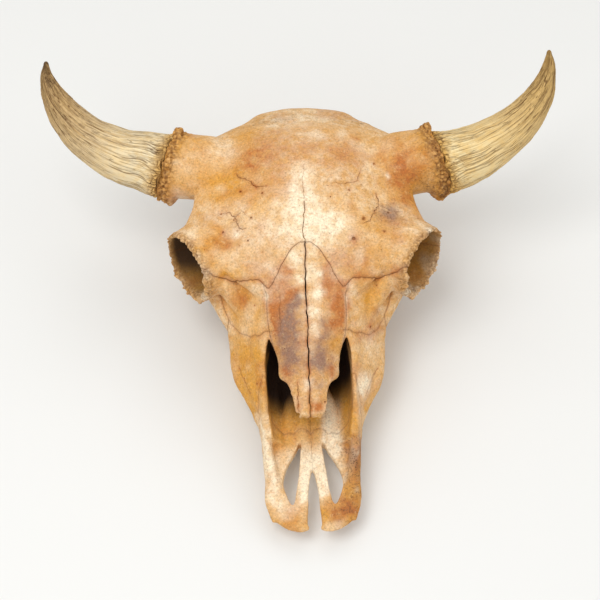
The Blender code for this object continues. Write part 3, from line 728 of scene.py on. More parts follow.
@dataclass
class Cranium:
    """Forehead, braincase, neck end, skull base and cheek arches."""

    forehead: tuple = (
        # y, half width, height in the middle, height of the edge, thickness at the edge
        (236, 56, 162, 148, 16), (256, 82, 172, 157, 18), (278, 108, 184, 166, 20), (298, 128, 193, 170, 22),
        (312, 138, 197, 168, 22), (328, 134, 201, 167, 22), (345, 128, 204, 168, 24),
        (375, 125, 208, 172, 30), (405, 126, 207, 176, 36), (432, 116, 199, 175, 40),
        (452, 92, 189, 170, 42), (470, 68, 179, 166, 38), (482, 55, 172, 163, 30), (490, 46, 164, 156, 20),
    )
    braincase: tuple = (
        # y, half width, lowest, highest
        (280, 32, 90, 150), (310, 44, 74, 165), (345, 54, 64, 178), (385, 62, 57, 182), (420, 74, 54, 176),
        (450, 84, 54, 168), (472, 70, 60, 155),
    )
    occiput: tuple = (
        # y, half width, scale of its height
        (428, 92, 0.9), (440, 114, 0.97), (452, 120, 1.0), (462, 112, 1.0), (470, 92, 0.96), (477, 66, 0.88),
    )

    @staticmethod
    def forehead_outline(half: float, top: float, edge: float, thick: float) -> list:
        """Half section of the broad forehead: a low dome with rounded edges.

        Args:
            half: half its width.
            top: height at the midline.
            edge: height of its edges.
            thick: how thick the edges are.

        Returns:
            Its points (x, z), from the midline below to the midline above.
        """
        fall = top - edge
        return [
            (0, edge - thick - 8), (half * 0.5, edge - thick - 6), (half * 0.85, edge - thick),
            (half * 0.99, edge - thick * 0.5), (half, edge - 3), (half * 0.86, edge + fall * 0.22),
            (half * 0.6, top - fall * 0.42), (half * 0.3, top - fall * 0.1), (0, top),
        ]

    @staticmethod
    def braincase_outline(half: float, low: float, high: float) -> list:
        """Half section of the braincase, an upright oval.

        Args:
            half: half its width.
            low: height of its underside.
            high: height of its top.

        Returns:
            Its points (x, z), from the midline below to the midline above.
        """
        middle = (low + high) / 2
        return [
            (0, low), (half * 0.45, low + 2), (half * 0.82, low + (middle - low) * 0.4), (half, middle),
            (half * 0.9, high - (high - middle) * 0.35), (half * 0.5, high - 2), (0, high),
        ]

    @staticmethod
    def occiput_outline(half: float, scale: float) -> list:
        """Half section of the neck shield: a broad arch up to the crest.

        Args:
            half: half its width.
            scale: how high the arch is, with 98 mm as 1.

        Returns:
            Its points (x, z), from the midline below to the midline above.
        """
        low, high = 64.0, 64.0 + 98.0 * scale
        return [
            (0, low + 6), (half * 0.5, low + 4), (half * 0.86, low), (half, low + 26),
            (half * 0.93, low + 54), (half * 0.74, high - 22), (half * 0.4, high - 4), (0, high),
        ]

    def forms(self, clay: Clay) -> None:
        """All of the cranium's solid forms.

        Args:
            clay: makes and keeps the forms.
        """
        clay.sections("forehead", self.forehead, self.forehead_outline)
        clay.sections("braincase", self.braincase, self.braincase_outline)
        clay.sections("occiput", self.occiput, self.occiput_outline)
        clay.bar("skull_base", [
            (0, 318, 78, 15, 13), (0, 360, 66, 17, 12), (0, 400, 60, 20, 12), (0, 425, 57, 26, 13),
            (0, 455, 58, 24, 13), (0, 474, 56, 20, 10),
        ], 1.0)
        nape_ridge = [(0, 470, 104, 5, 10), (0, 480, 126, 7, 12), (0, 485, 148, 10, 12)]
        clay.bar("nape_ridge", nape_ridge, 1.0, (0, 1, 0))
        for side in Side:
            self.side_forms(clay, side.value)

    def side_forms(self, clay: Clay, side: float) -> None:
        """Condyles, neck processes, jaw joint, ear tube, cheek arch and wings of one side.

        Args:
            clay: makes and keeps the forms.
            side: 1 for the animal's left, -1 for its right.
        """
        for name, x, y, z, radii, tilt in (
            ("condyle", 35, 474, 58, (20, 21, 29), (24, 0, 28)),
            ("condyle_neck", 36, 462, 74, (24, 22, 26), (0, 0, 0)),
            ("nape", 46, 458, 118, (40, 16, 38), (0, 18, 10)),
            ("basal_knob", 16, 424, 49, (10, 14, 9), (0, 0, 0)),
            ("bulla", 50, 412, 62, (12, 19, 18), (0, 0, 0)),
        ):
            clay.ball(name, (x * side, y, z), radii, (tilt[0], tilt[1] * side, tilt[2] * side))
        clay.bar("neck_process", [
            (84, 448, 88, 14, 26), (80, 450, 62, 11, 21), (75, 452, 38, 9, 16), (70, 453, 14, 8, 11),
            (67, 453, -5, 7, 8),
        ], side, (0, 1, 0))
        for name, route in (
            ("jaw_joint", [(58, 398, 96, 22, 20), (84, 396, 96, 21, 14), (106, 390, 100, 15, 10)]),
            ("ear_tube", [(70, 424, 92, 15, 15), (100, 424, 97, 12, 12), (112, 424, 99, 10, 10)]),
            ("wing", [
                (22, 286, 62, 5, 24), (21, 312, 60, 4.5, 26), (20, 340, 66, 4.5, 20), (20, 362, 70, 5, 10),
            ]),
            ("cheek", [
                (82, 228, 78, 8, 12), (94, 250, 88, 9, 14), (112, 280, 98, 8, 14), (128, 308, 103, 6, 12),
            ]),
            ("arch", [
                (124, 294, 102, 6, 12), (130, 322, 102, 5.5, 12), (128, 352, 102, 5.5, 11),
                (116, 382, 103, 8, 11), (100, 400, 104, 12, 11),
            ]),
            ("brow", [
                (60, 226, 106, 10, 9), (76, 246, 117, 13, 13), (90, 262, 128, 13, 17),
                (102, 272, 136, 12, 18),
            ]),
        ):
            clay.bar(name, route, side)
        clay.bar("back_bar", [
            (136, 298, 158, 8, 13), (139, 312, 138, 6, 11), (136, 318, 120, 6, 11), (131, 320, 106, 6, 12),
        ], side, (0, 1, 0))

    def hollows(self, clay: Clay) -> None:
        """Temporal hollows, rear nostrils, ear and nerve holes, and the brain opening.

        Args:
            clay: makes and keeps the forms.
        """
        for side in Side:
            for name, route in (
                ("temple", [
                    (76, 310, 112, 13, 18), (86, 332, 112, 21, 26), (90, 356, 114, 22, 25),
                    (88, 384, 120, 16, 14),
                ]),
                ("rear_nostril", [
                    (11, 262, 64, 8, 12), (12, 290, 58, 8, 15), (12, 320, 52, 8, 16), (12, 352, 42, 8, 16),
                ]),
                ("ear_hole", [(84, 424, 95, 4, 4), (124, 424, 100, 4.5, 4.5)]),
                ("nerve_hole", [(82, 130, 38, 5, 6), (66, 152, 42, 5, 6), (54, 176, 50, 4, 5)]),
            ):
                clay.bar(name, route, side.value)
        brain = [(0, 410, 86, 20, 20), (0, 440, 80, 20, 19), (0, 470, 74, 19, 18), (0, 505, 72, 20, 18)]
        clay.bar("brain", brain, 1.0)


@dataclass
class EyeRims:
    """The tubular eye sockets with their ragged rims."""

    centre: tuple = (135.0, 280.0, 136.5)
    facing: tuple = (0.79, -0.60, 0.12)
    radius: float = 36.0
    rim: float = 8.5
    oval: float = 0.94
    hollow: tuple = (137.2, 283.0, 136.8)

    def forms(self, clay: Clay) -> None:
        """Both tubes, with small knobs around their rims.

        Args:
            clay: makes and keeps the forms.
        """
        edge = self.radius + self.rim
        profile = [(-62, 30), (-44, edge + 2), (-26, edge + 3), (-12, edge + 1), (-3, edge), (0, edge - 3)]
        ring = KnobRing(self.centre, self.facing, self.radius + 4.0, 3.2, 30, 11, self.oval)
        for side in Side:
            clay.turned("eye_rim", self.centre, self.facing, profile, side.value, self.oval)
            clay.knobs("rim_knob", ring, side.value)

    def sockets(self, clay: Clay) -> None:
        """The deep hollows of both sockets.

        Args:
            clay: makes and keeps the forms.
        """
        profile = [
            (-72, 8), (-62, 18), (-46, 27), (-28, 34), (-12, 37), (0, self.radius + 3.5),
            (16, self.radius + 9)
        ]
        for side in Side:
            clay.turned("socket", self.hollow, self.facing, profile, side.value, self.oval)

    def place(self, points: Array) -> tuple[Array, Array]:
        """Distance of points along the socket's axis from its rim, and out from the axis.

        Args:
            points: places, one to a row.

        Returns:
            Both distances, for each point.
        """
        ahead = unit(np.array(self.facing))
        local = to_left(points) - self.hollow
        reach = local @ ahead
        return reach, np.linalg.norm(local - reach[:, None] * ahead, axis=1)


@dataclass
class HornBases:
    """The bony necks that carry the horn cores, ending in the knobbly burr."""

    centre: tuple = (152.0, 411.0, 158.0)
    facing: tuple = (0.95, 0.29, 0.10)
    seat: float = 7.0
    wave: float = 2.6
    rows: tuple = (
        # shift along facing, knob size, count and seed of the burr's three rows
        (0.0, 6.8, 25, 23), (5.0, 5.6, 29, 25), (-7.0, 5.2, 23, 29),
    )

    def seat_wave(self, points: Array) -> Array:
        """How far the seat swells out and in at points near it, given for the side of positive x."""
        return self.wave * noise(points, 9.0, 93, 2)

    def forms(self, clay: Clay) -> None:
        """Both necks and burrs.

        Args:
            clay: makes and keeps the forms.
        """
        centre, facing = np.array(self.centre), np.array(self.facing)
        ahead = unit(facing)
        root = centre + (0, -3, 6)
        for side in Side:
            clay.bar("neck", [
                (84, 398, 160, 36, 30), (112, 404, 162, 39, 35), (137, 406, 164, 38, 37),
                (156, 406, 164, 36, 36),
            ], side.value, rounding=0.1)
            stump = [(*(root - ahead * 14), 36, 36), (*root, 37, 36), (*(root + ahead * 14), 36, 35)]
            clay.bar("stump", stump, side.value, rounding=0.1)
            for shift, size, count, seed in self.rows:
                ring = KnobRing(tuple(centre + facing * shift), self.facing, 36.5, size, count, seed)
                clay.knobs("burr", ring, side.value)

    def past_seat(self, points: Array) -> Array:
        """Distance of points beyond the plane where the horn core sits, for the side they are on."""
        local = to_left(points)
        return (local - self.centre) @ unit(np.array(self.facing)) - self.seat - self.seat_wave(local)


@dataclass
class Muzzle:
    """The forked bones at the tip of the snout."""

    plate: tuple = (
        # y, half width, lowest, highest
        (20, 40, 23, 32), (40, 46, 26, 37), (60, 49, 30, 41), (80, 51, 32, 44), (100, 51, 31, 45),
        (118, 48, 33, 43),
    )
    fissure: tuple = (
        (24, 29), (28, 34), (32.5, 46), (33.5, 55), (31, 66), (26, 77), (19, 89), (14, 99), (11.5, 103),
        (11, 96), (13, 84), (15, 70), (17, 55), (19, 42), (21, 33),
    )
    tip_gap: tuple = (
        (5, -14), (6, 0), (8.5, 8), (8, 18), (7, 30), (5.5, 44), (3.5, 56), (0.5, 70),
    )

    @staticmethod
    def plate_outline(half: float, low: float, high: float) -> list:
        """Half section of the flat plate between the prongs.

        Args:
            half: half its width.
            low: height of its underside.
            high: height of its top.

        Returns:
            Its points (x, z), from the midline below to the midline above.
        """
        middle = (low + high) / 2
        return [
            (0, low + 1), (half * 0.55, low), (half * 0.93, low + 1.5), (half, middle),
            (half * 0.93, high - 1.5), (half * 0.55, high), (0, high),
        ]

    def forms(self, clay: Clay) -> None:
        """Tips, outer and inner prongs, and the plate between them.

        Args:
            clay: makes and keeps the forms.
        """
        for side in Side:
            clay.ball("muzzle", (25 * side.value, 15.5, 27), (24, 14, 6), (2, 0, side.value * 25))
            clay.bar("outer_prong", [
                (36, 16, 27, 12, 5), (43, 34, 31, 11, 6), (45, 56, 38, 9, 9), (49, 86, 47, 7, 14),
                (51, 112, 60, 5.5, 15), (51.5, 138, 84, 4.5, 11), (50.5, 158, 100, 3.5, 7),
            ], side.value)
            clay.bar("inner_prong", [
                (16, 14, 27, 10, 5), (13, 30, 30, 7, 5), (10.5, 50, 34, 6.5, 4.5), (9, 70, 40, 7.5, 4.5),
                (9, 92, 45, 8.5, 5), (9.5, 112, 48, 9, 6), (8.5, 134, 50, 8, 7),
            ], side.value)
        clay.sections("front_plate", self.plate, self.plate_outline)

    def openings(self, clay: Clay) -> None:
        """The two fissures beside the inner prongs and the gap between the tips.

        Args:
            clay: makes and keeps the forms.
        """
        for side in Side:
            clay.prism("fissure", self.fissure, 8, 66, side.value)
        clay.prism("tip_gap", [*self.tip_gap, *((-x, y) for x, y in self.tip_gap[::-1])], 8, 66, 1.0)


# The seams between the bones


@dataclass
class Seams:
    """Thin sheets, with the small waves of real sutures, that part the whole skull into its bones."""

    gap: float = 0.3
    middle_gap: float = 0.8
    wave: float = 0.9
    jag: float = 0.5
    far: float = 99.0
    overlap: float = 3.0
    top: float = 230.0
    rim_start: float = 90.0
    rim_end: float = 345.0
    crown: tuple = (
        # distance from the midline, then y and height where the forehead meets the face
        (0, 282, 184), (14, 276, 182), (25, 262, 174), (37, 244, 158), (42, 240, 152), (52, 247, 154),
        (70, 250, 152), (90, 255, 154), (105, 257, 156), (125, 258, 158),
    )
    floor: tuple = (294.0, 70.0)
    tear: tuple = (
        # distance from the midline, then y and height where the lacrimal meets the upper jaw
        (30, 200, 138), (42, 205, 130), (55, 208, 119), (70, 213, 104), (82, 222, 95), (96, 234, 96),
        (106, 240, 100),
    )
    cheek: tuple = (
        # y, then distance from the midline where the cheek bone meets the upper jaw
        (205, 106), (222, 97), (232, 91), (245, 90), (262, 93), (284, 95), (300, 93), (322, 92),
    )
    muzzle: tuple = (
        # y, then height where the premaxilla meets the upper jaw
        (78, 14), (92, 30), (110, 50), (130, 76), (150, 97), (167, 115),
    )
    flank: tuple = (
        # where the nasal's outer seam starts, its run to the forehead, then the sheet's run inwards, run down
        # and length of the two
        (45.5, 176.0, 123.5), (4.5, 68.0, 38.0), (21.0, 29.0, 35.8),
    )

    @staticmethod
    def read(table: list, places: Array) -> list:
        """The columns of a table at places of any shape, held level beyond its ends."""
        rows = along(table, np.clip(np.ravel(places), table[0][0], table[-1][0]))
        return [column.reshape(np.shape(places)) for column in rows.T]

    @staticmethod
    def net(first: tuple, second: tuple, rows: int, columns: int) -> list:
        """Two grids of values, the first changing along the rows and the second along the columns."""
        return np.meshgrid(np.linspace(*first, rows), np.linspace(*second, columns), indexing="ij")

    def ripple(self, u: Array, v: Array, seed: int) -> Array:
        """The waves of a seam at places u along it and v across it."""
        place = np.stack([u, v * 0.3, np.zeros(np.shape(u))], axis=-1)
        return self.wave * noise(place, 7.0, seed, 2)

    def crown_y(self, x: Array, z: Array) -> Array:
        """Depth of the seam between face and forehead at a distance from the midline and a height.

        Args:
            x: places across.
            z: their heights.

        Returns:
            The seam's depth at each.
        """
        y, top = self.read(self.crown, np.abs(x))
        low_y, low_z = self.floor
        t = held((top - z) / (top - low_z))
        place = np.stack([np.abs(x), 0 * z, 0 * z], axis=-1)
        waves = self.ripple(np.abs(x), z, 41) + self.jag * noise(place, 2.6, 40)
        return y + (low_y - y) * t + waves * (1 - t)

    def middle_x(self, y: Array) -> Array:
        """How far the seam between the nasals strays from the midline."""
        return 0.9 * self.ripple(y, 0 * y, 53)

    def tear_z(self, x: Array, y: Array) -> Array:
        """Height of the seam under the lacrimal and through the middle of the eye rim.

        Args:
            x: places across.
            y: their depths.

        Returns:
            The seam's height at each.
        """
        start_y, start_z = self.read(self.tear, x)
        inner = start_z - 0.15 * (y - start_y)
        outer = 121.0 + 0.23 * (x - 135.0) - 0.05 * (y - 280.0)
        t = ease((x - 86.0) / 20.0)
        return inner * (1 - t) + outer * t + self.ripple(x + y * 0.5, y, 43)

    def sheet(self, grid: Array, thickness: float | Array, side: float, home: Collection) -> None:
        """A thin closed slab: the grid moved half its thickness along its normal to both sides, and a rim.

        Args:
            grid: points by row and column.
            thickness: one number, or one for each row.
            side: 1 or -1, the side of the midline.
            home: the collection that the slab goes into.
        """
        grid = np.asarray(grid, float) * (side, 1.0, 1.0)
        normal = unit(np.cross(np.gradient(grid, axis=0), np.gradient(grid, axis=1)))
        rows, columns = grid.shape[:2]
        skin = normal * np.reshape(thickness, (-1, 1, 1)) / 2
        points = np.concatenate([(grid + skin).reshape(-1, 3), (grid - skin).reshape(-1, 3)])
        other = rows * columns
        number = np.arange(other).reshape(rows, columns)
        a, b, c, d = number[:-1, :-1], number[:-1, 1:], number[1:, 1:], number[1:, :-1]
        top = np.concatenate([np.stack(t, axis=-1).reshape(-1, 3) for t in ((a, b, c), (a, c, d))])
        rim = np.concatenate([number[0, :-1], number[:-1, -1], number[-1, :0:-1], number[:0:-1, 0]])
        after = np.roll(rim, -1)
        walls = np.stack([after, rim, rim + other, after + other], axis=-1)
        mesh_object("seam", points, top.tolist() + (top[:, ::-1] + other).tolist() + walls.tolist(), home)

    def crown_grids(self) -> list:
        """Between face and forehead, from the midline to the eye rim and from there outwards.

        Returns:
            The x, y and z of each sheet's points.
        """
        x = np.linspace(-1, 97, 60)
        top = self.read(self.crown, np.abs(x))[1]
        levels = np.array([1.0, 0.93, 0.86, 0.78, 0.62, 0.4, 0.2, 0.0])
        below = self.floor[1] + (top[:, None] - self.floor[1]) * levels
        z = np.column_stack([0 * x + 220.0, top + 12.0, below, 0 * x + 18.0])
        inner = (x[:, None], self.crown_y(x[:, None] + 0 * z, z), z)
        x = np.linspace(94, 122, 16)
        top = self.read(self.crown, x)[1]
        low = self.tear_z(x, np.full(len(x), 268.0)) - 2.5
        z = np.column_stack([0 * x + 200.0, top + 6.0, top, (top + low) / 2, low])
        return [inner, (x[:, None], self.crown_y(x[:, None] + 0 * z, z), z)]

    def tear_grids(self) -> list:
        """Under the lacrimal and through the eye rim.

        Returns:
            The x, y and z of each sheet's points.
        """
        x, t = self.net((32.0, 172.0), (0.0, 1.0), 70, 14)
        front = self.read(self.tear, x)[0] - 16.0
        crown = self.crown_y(x, self.tear_z(x, 262.0 + 0 * x)) + self.overlap
        y = front * (1 - t) + np.where(x < self.rim_start, crown, self.rim_end) * t
        return [(x, y, self.tear_z(x, y))]

    def cheek_grids(self) -> list:
        """Between cheek bone and upper jaw, and across the cheek arch.

        Returns:
            The x, y and z of each sheet's points.
        """
        y, t = self.net((206.0, 322.0), (0.0, 1.0), 40, 8)
        x = self.read(self.cheek, y)[0]
        z = 20.0 * (1 - t) + (self.tear_z(x, y) + 0.4) * t
        front = (x + self.ripple(z, y, 45) * (1 - t), y, z)
        x, z = self.net((106.0, 148.0), (78.0, 128.0), 6, 14)
        return [front, (x, 346.0 + 0.7 * (z - 102.0) + self.ripple(z, x, 47), z)]

    def flank_grids(self) -> list:
        """Between nasal and upper jaw, sloping inwards under the nasal's edge.

        Returns:
            The x, y and z of each sheet's points.
        """
        s, t = self.net((0.0, 1.0), (0.0, 1.0), 24, 7)
        (start_x, start_y, start_z), (run_x, _, run_z), (inwards, down, _) = self.flank
        x = start_x + run_x * s - inwards * t
        z = start_z + run_z * s - down * t
        y = start_y * (1 - s) + (self.crown_y(x[-1], z[-1]) + self.overlap) * s
        return [(x + self.ripple(y, z, 49) * (1 - s) * 0.8, y, z)]

    def muzzle_grids(self) -> list:
        """Between premaxilla and upper jaw, outside and inside the nose.

        Returns:
            The x, y and z of each sheet's points.
        """
        grids = []
        for far, inner, outer in ((167.0, 28.0, 80.0), (126.0, -1.0, 29.0)):
            y, x = self.net((78.0, far), (inner, outer), 40, 8)
            grids.append((x, y, self.read(self.muzzle, y)[0] + self.ripple(y, x, 51)))
        return grids

    def seat_grids(self, base: HornBases) -> list:
        """Where the horn core sits on its neck.

        Args:
            base: the neck and burr.

        Returns:
            The x, y and z of each sheet's points.
        """
        ahead, level, rise = frame_of(base.facing)
        u, v = self.net((-64.0, 64.0), (-64.0, 64.0), 50, 50)
        seat = (np.array(base.centre) + ahead * base.seat) + u[:, :, None] * level + v[:, :, None] * rise
        seat += ahead * base.seat_wave(seat)[:, :, None]
        return [np.moveaxis(seat, 2, 0)]

    def side_sheets(self, side: float, home: Collection, base: HornBases) -> None:
        """The sheets of one side. Where two meet, one runs a little past the other.

        Args:
            side: 1 for the animal's left, -1 for its right.
            home: the collection that takes the sheets.
            base: the neck and burr.
        """
        grids = self.crown_grids() + self.tear_grids() + self.cheek_grids() + self.flank_grids()
        for x, y, z in grids + self.muzzle_grids() + self.seat_grids(base):
            self.sheet(np.dstack(np.broadcast_arrays(x, y, z)), self.gap, side, home)

    def part(self, skull: Object, base: HornBases) -> None:
        """Cuts the skull into its bones.

        Args:
            skull: the whole skull.
            base: the necks and burrs.
        """
        home = new_collection("seams")
        for side in Side:
            self.side_sheets(side.value, home, base)
        for start, low, high, gap in (
            # the midline through the nasals, then under them
            (88.0, 96.0, self.top, self.middle_gap), (-20.0, -20.0, 97.0, self.gap),
        ):
            t, z = self.net((0.0, 1.0), (low, high), 50, 12)
            y = start * (1 - t) + (self.crown_y(0.0 * z, z) + 0.4) * t
            nasal = gap > self.gap
            uneven = 1 + 0.6 * noise(np.dstack([y, z * 0, t])[:, 0], 7.0, 55, 2)
            wide = np.clip(gap * (0.45 + 1.3 * np.sqrt(t[:, 0])) * uneven, 0.3, None)
            self.sheet(np.dstack([self.middle_x(y) * nasal, y, z]), wide if nasal else gap, 1.0, home)
        combine(skull, home, Join.CUT)

    def nearness(self, points: Array) -> Masks:
        """Rough distance of points from the seams that show on the face, by seam.

        Args:
            points: places, one to a row.

        Returns:
            One distance for each point, by the seam's name.
        """
        across, y, z = points.T
        x = np.abs(across)
        tear_x = np.clip(x, 30, 170)
        tear_end = np.where(x < self.rim_start, self.crown_y(x, self.tear_z(tear_x, y)), self.rim_end)
        ahead = y < self.crown_y(x, z)
        (start_x, start_y, start_z), (run_x, run_y, run_z), (inwards, down, length) = self.flank
        part = (y - start_y) / run_y
        flank = ((x - start_x - run_x * part) * down - (z - start_z - run_z * part) * inwards) / length
        on_tear = (x > 40) & (x < 168) & (y > self.read(self.tear, tear_x)[0] - 16) & (y < tear_end)
        on_cheek = (y > 206) & (y < 322) & (z < self.tear_z(tear_x, y))
        near = {
            "crown": ((x < 120) & (z > 95), y - self.crown_y(x, z)),
            "middle": (ahead & (z > 96) & (y > 90), across - self.middle_x(y)),
            "flank": (ahead & (z > 118) & (y > 180) & (x < 60), flank),
            "tear": (on_tear, z - self.tear_z(tear_x, y)),
            "cheek": (on_cheek, x - self.read(self.cheek, y)[0]),
            "muzzle": ((y > 78) & (y < 167), (z - self.read(self.muzzle, y)[0]) * 0.72),
        }
        return {name: np.where(where, np.abs(off), self.far) for name, (where, off) in near.items()}


# Relief on the whole skull


@dataclass(frozen=True)
class Groove:
    """A broad soft channel along a bent line on the surface."""

    line: tuple
    depth: float
    width: float


@dataclass(frozen=True)
class Crack:
    """A narrow wandering crack along a bent line on the surface."""

    line: tuple
    width: float
    depth: float
    wander: float = 0.8
    dark: float = 0.8


GROOVES = (
    Groove(((-83, 318, 185), (-78, 302, 184), (-73, 286, 178)), 2.2, 5.0),
    Groove(((78, 306, 186), (74, 291, 181), (71, 274, 174)), 2.2, 5.0),
    Groove(((-100, 330, 180), (-90, 322, 184), (-80, 314, 186)), 1.4, 4.0),
    Groove(((98, 330, 182), (109, 323, 178), (119, 314, 176)), 1.3, 3.0),
    Groove(((84, 345, 188), (83, 330, 187), (80, 316, 186)), 1.4, 3.4),
    Groove(((-82, 192, 78), (-74, 163, 70), (-61, 133, 66), (-48, 106, 70)), 1.6, 5.0),
    Groove(((-70, 216, 108), (-64, 180, 92), (-55, 144, 82), (-47, 114, 76)), 1.4, 6.0),
    Groove(((81, 187, 78), (73, 160, 69), (61, 134, 69), (53, 112, 75)), 1.6, 5.0),
    Groove(((66, 216, 112), (60, 180, 97), (53, 146, 86), (50, 120, 76)), 1.2, 6.0),
)

CRACKS = (
    Crack(((1, 326, 201), (0, 310, 197), (-2, 295, 193), (0, 281, 185)), 1.0, 3.0, 1.3, 1.0),
    Crack(((1, 372, 208), (-1, 346, 205), (1, 326, 201)), 0.5, 1.2, 0.8, 0.4),
    Crack((
        (-78, 372, 192), (-74, 368, 193), (-68, 364, 194), (-60, 356, 196), (-51, 349, 199), (-42, 349, 200),
    ), 0.6, 1.8, 2.2, 0.7),
    Crack((
        (33, 350, 202), (43, 350, 201), (54, 353, 199), (61, 357, 197), (64, 364, 196), (67, 371, 195),
    ), 0.5, 1.4, 2.4, 0.55),
    Crack((
        (-96, 326, 182), (-84, 323, 185), (-80, 314, 186), (-73, 303, 185), (-66, 300, 186),
    ), 0.6, 1.8, 2.0, 0.7),
    Crack(((-78, 316, 186), (-70, 320, 189), (-64, 316, 189)), 0.5, 1.4, 1.8, 0.6),
    Crack(((83, 344, 188), (84, 332, 187), (81, 318, 186)), 0.7, 2.0, 2.2),
    Crack(((64, 305, 187), (70, 304, 187), (76, 308, 187), (79, 318, 187)), 0.6, 1.8, 2.2, 0.7),
    Crack(((86, 330, 186), (98, 326, 182), (110, 324, 178)), 0.5, 1.4, 2.2, 0.6),
    Crack(((-30, 232, 158), (-31, 206, 146), (-30, 190, 138)), 0.5, 1.0, 1.0, 0.5),
    Crack(((-13, 136, 121), (-15, 120, 115), (-14, 106, 108)), 0.8, 2.0, 0.8),
    Crack(((-62, 150, 76), (-66, 168, 72), (-72, 186, 70)), 0.7, 1.6, 1.2, 0.6),
    Crack(((66, 146, 76), (70, 166, 74), (76, 182, 72)), 0.7, 1.6, 1.2, 0.6),
)

PITS = (
    # place and radius
    (-72, 348, 191, 1.5), (-47, 341, 197, 1.1), (-64, 287, 181, 1.2), (-60, 312, 190, 1.5),
    (55, 286, 182, 2.3), (82, 383, 192, 1.5), (52, 343, 198, 1.4), (67, 309, 188, 2.2), (-80, 314, 186, 2.0),
    (-95, 325, 182, 1.6), (16, 118, 109, 1.2), (-60, 229, 136, 1.3), (72, 214, 108, 1.3),
    (-58, 152, 92, 1.1), (80, 250, 140, 1.3), (30, 332, 199, 0.9), (-76, 300, 183, 1.2), (96, 322, 181, 1.6),
    (-92, 300, 180, 1.2), (90, 296, 180, 1.1),
)

HOLES = (
    # line and radius of the holes that are painted dark inside as shade: ear, nerve, rear nostril and brain
    (((92, 424, 96), (124, 424, 100)), 4.6), (((76, 140, 39), (54, 176, 50)), 5.2),
    (((12, 270, 62), (12, 290, 58), (12, 320, 52), (12, 344, 45)), 14.0),
    (((0, 410, 86), (0, 440, 80), (0, 466, 75)), 20.5),
)


@dataclass
class Damage:
    """Cracks and holes cut sharply into the skull's skin, each moved to where the skin really is."""

    scattered: int = 90
    seed: int = 77
    lift: float = 1.2
    flare: float = 1.4
    keel: float = 0.1
    routes: list = field(default_factory=list)

    def route(self, crack: Crack, number: int, skin: BVHTree) -> tuple[Array, Array]:
        """A crack's points, 1 mm apart, shifted by noise and laid on the skin, and the ways outwards.

        Args:
            crack: its line and sizes.
            number: its place in the list, which picks the noise.
            skin: the skull's surface.

        Returns:
            The points, and the ways outwards there.
        """
        line = np.array(crack.line, float)
        at = lengths(line)
        rough = along(np.column_stack([at, line]), spaced(0, at[-1], 1.0))
        rough = rough + crack.wander * wander(rough, 4.5, 400 + 3 * number, 3)
        places, normals = zip(*(skin.find_nearest(Vector(place))[:2] for place in rough))
        return np.array(places), np.array(normals)

    def cracks(self, clay: Clay, skin: BVHTree) -> None:
        """A wedge for each crack: wide above the skin, sharp below it, thinner at its ends.

        Args:
            clay: makes and keeps the forms.
            skin: the skull's surface.
        """
        for number, crack in enumerate(CRACKS):
            places, normals = self.route(crack, number, skin)
            across = unit(np.cross(unit(np.gradient(places, axis=0)), normals))
            swell = np.clip(3 * np.sin(np.linspace(0, math.pi, len(places))), 0.3, 1)
            swell = swell * (1 + 0.45 * noise(places, 4.0, 500 + number))
            half = (crack.width * swell / 2)[:, None] * across
            top, low = places + self.lift * normals, places - (crack.depth * swell)[:, None] * normals
            wide, thin = self.flare * half, self.keel * half
            clay.skin("crack", np.stack((top + wide, top - wide, low - thin, low + thin), axis=1))
            self.routes.append((places, crack))

    def pits(self, clay: Clay, skin: BVHTree, points: Array, normals: Array) -> None:
        """A small ball for each hole: those of the photograph, and fine ones scattered over the face.

        Args:
            clay: makes and keeps the forms.
            skin: the skull's surface.
            points: the skull's points.
            normals: the ways outwards there.
        """
        draw = np.random.default_rng(self.seed)
        x, y, z = points.T
        upper = np.flatnonzero((normals[:, 2] > 0.2) & (y > 120) & (z > 70) & (np.abs(x) > 20))
        chosen = draw.choice(upper, self.scattered, replace=False)
        extra = [(*points[i], draw.uniform(0.5, 0.95)) for i in chosen]
        for *place, radius in [*PITS, *extra]:
            spot, normal = skin.find_nearest(Vector(place))[:2]
            radii = (radius, radius * 0.85, radius * 1.2)
            clay.ball("pit", tuple(spot - normal * radius * 0.3), radii, (0, 0, draw.uniform(0, 180)))

    def cut(self, skull: Object) -> None:
        """Cuts all cracks and pits.

        Args:
            skull: the whole skull.
        """
        points, normals = read_points(skull.data), read_normals(skull.data)
        skin = BVHTree.FromPolygons(points.tolist(), [tuple(face.vertices) for face in skull.data.polygons])
        clay = Clay(new_collection("damage"))
        self.cracks(clay, skin)
        self.pits(clay, skin, points, normals)
        combine(skull, clay.home, Join.CUT)

    def darkness(self, points: Array) -> tuple[Array, Array]:
        """How dark points are for being in a crack or pit, and how rusty for being near one.

        Args:
            points: places, one to a row.

        Returns:
            Both, from 0 to 1, for each point.
        """
        dark, rust = np.zeros(len(points)), np.zeros(len(points))
        for places, crack in self.routes:
            near = np.abs(points - places.mean(axis=0)).max(axis=1) < 60
            reach, _ = from_line(points[near], places[::2])
            broken = 0.35 + 0.65 * ease(noise(points[near], 7.0, 99) + 0.6)
            line = crack.dark * broken * bell(reach, 0.4 * crack.width + 0.1)
            dark[near] = np.maximum(dark[near], 0.75 * line)
            rust[near] = np.maximum(rust[near], 0.5 * broken * bell(reach, 1.8))
        for *place, radius in PITS:
            reach = np.linalg.norm(points - place, axis=1)
            dark = np.maximum(dark, 0.95 * np.exp(-((reach / (0.9 * radius)) ** 4)))
            rust = np.maximum(rust, 0.5 * bell(reach, radius + 1.5))
        return dark, rust


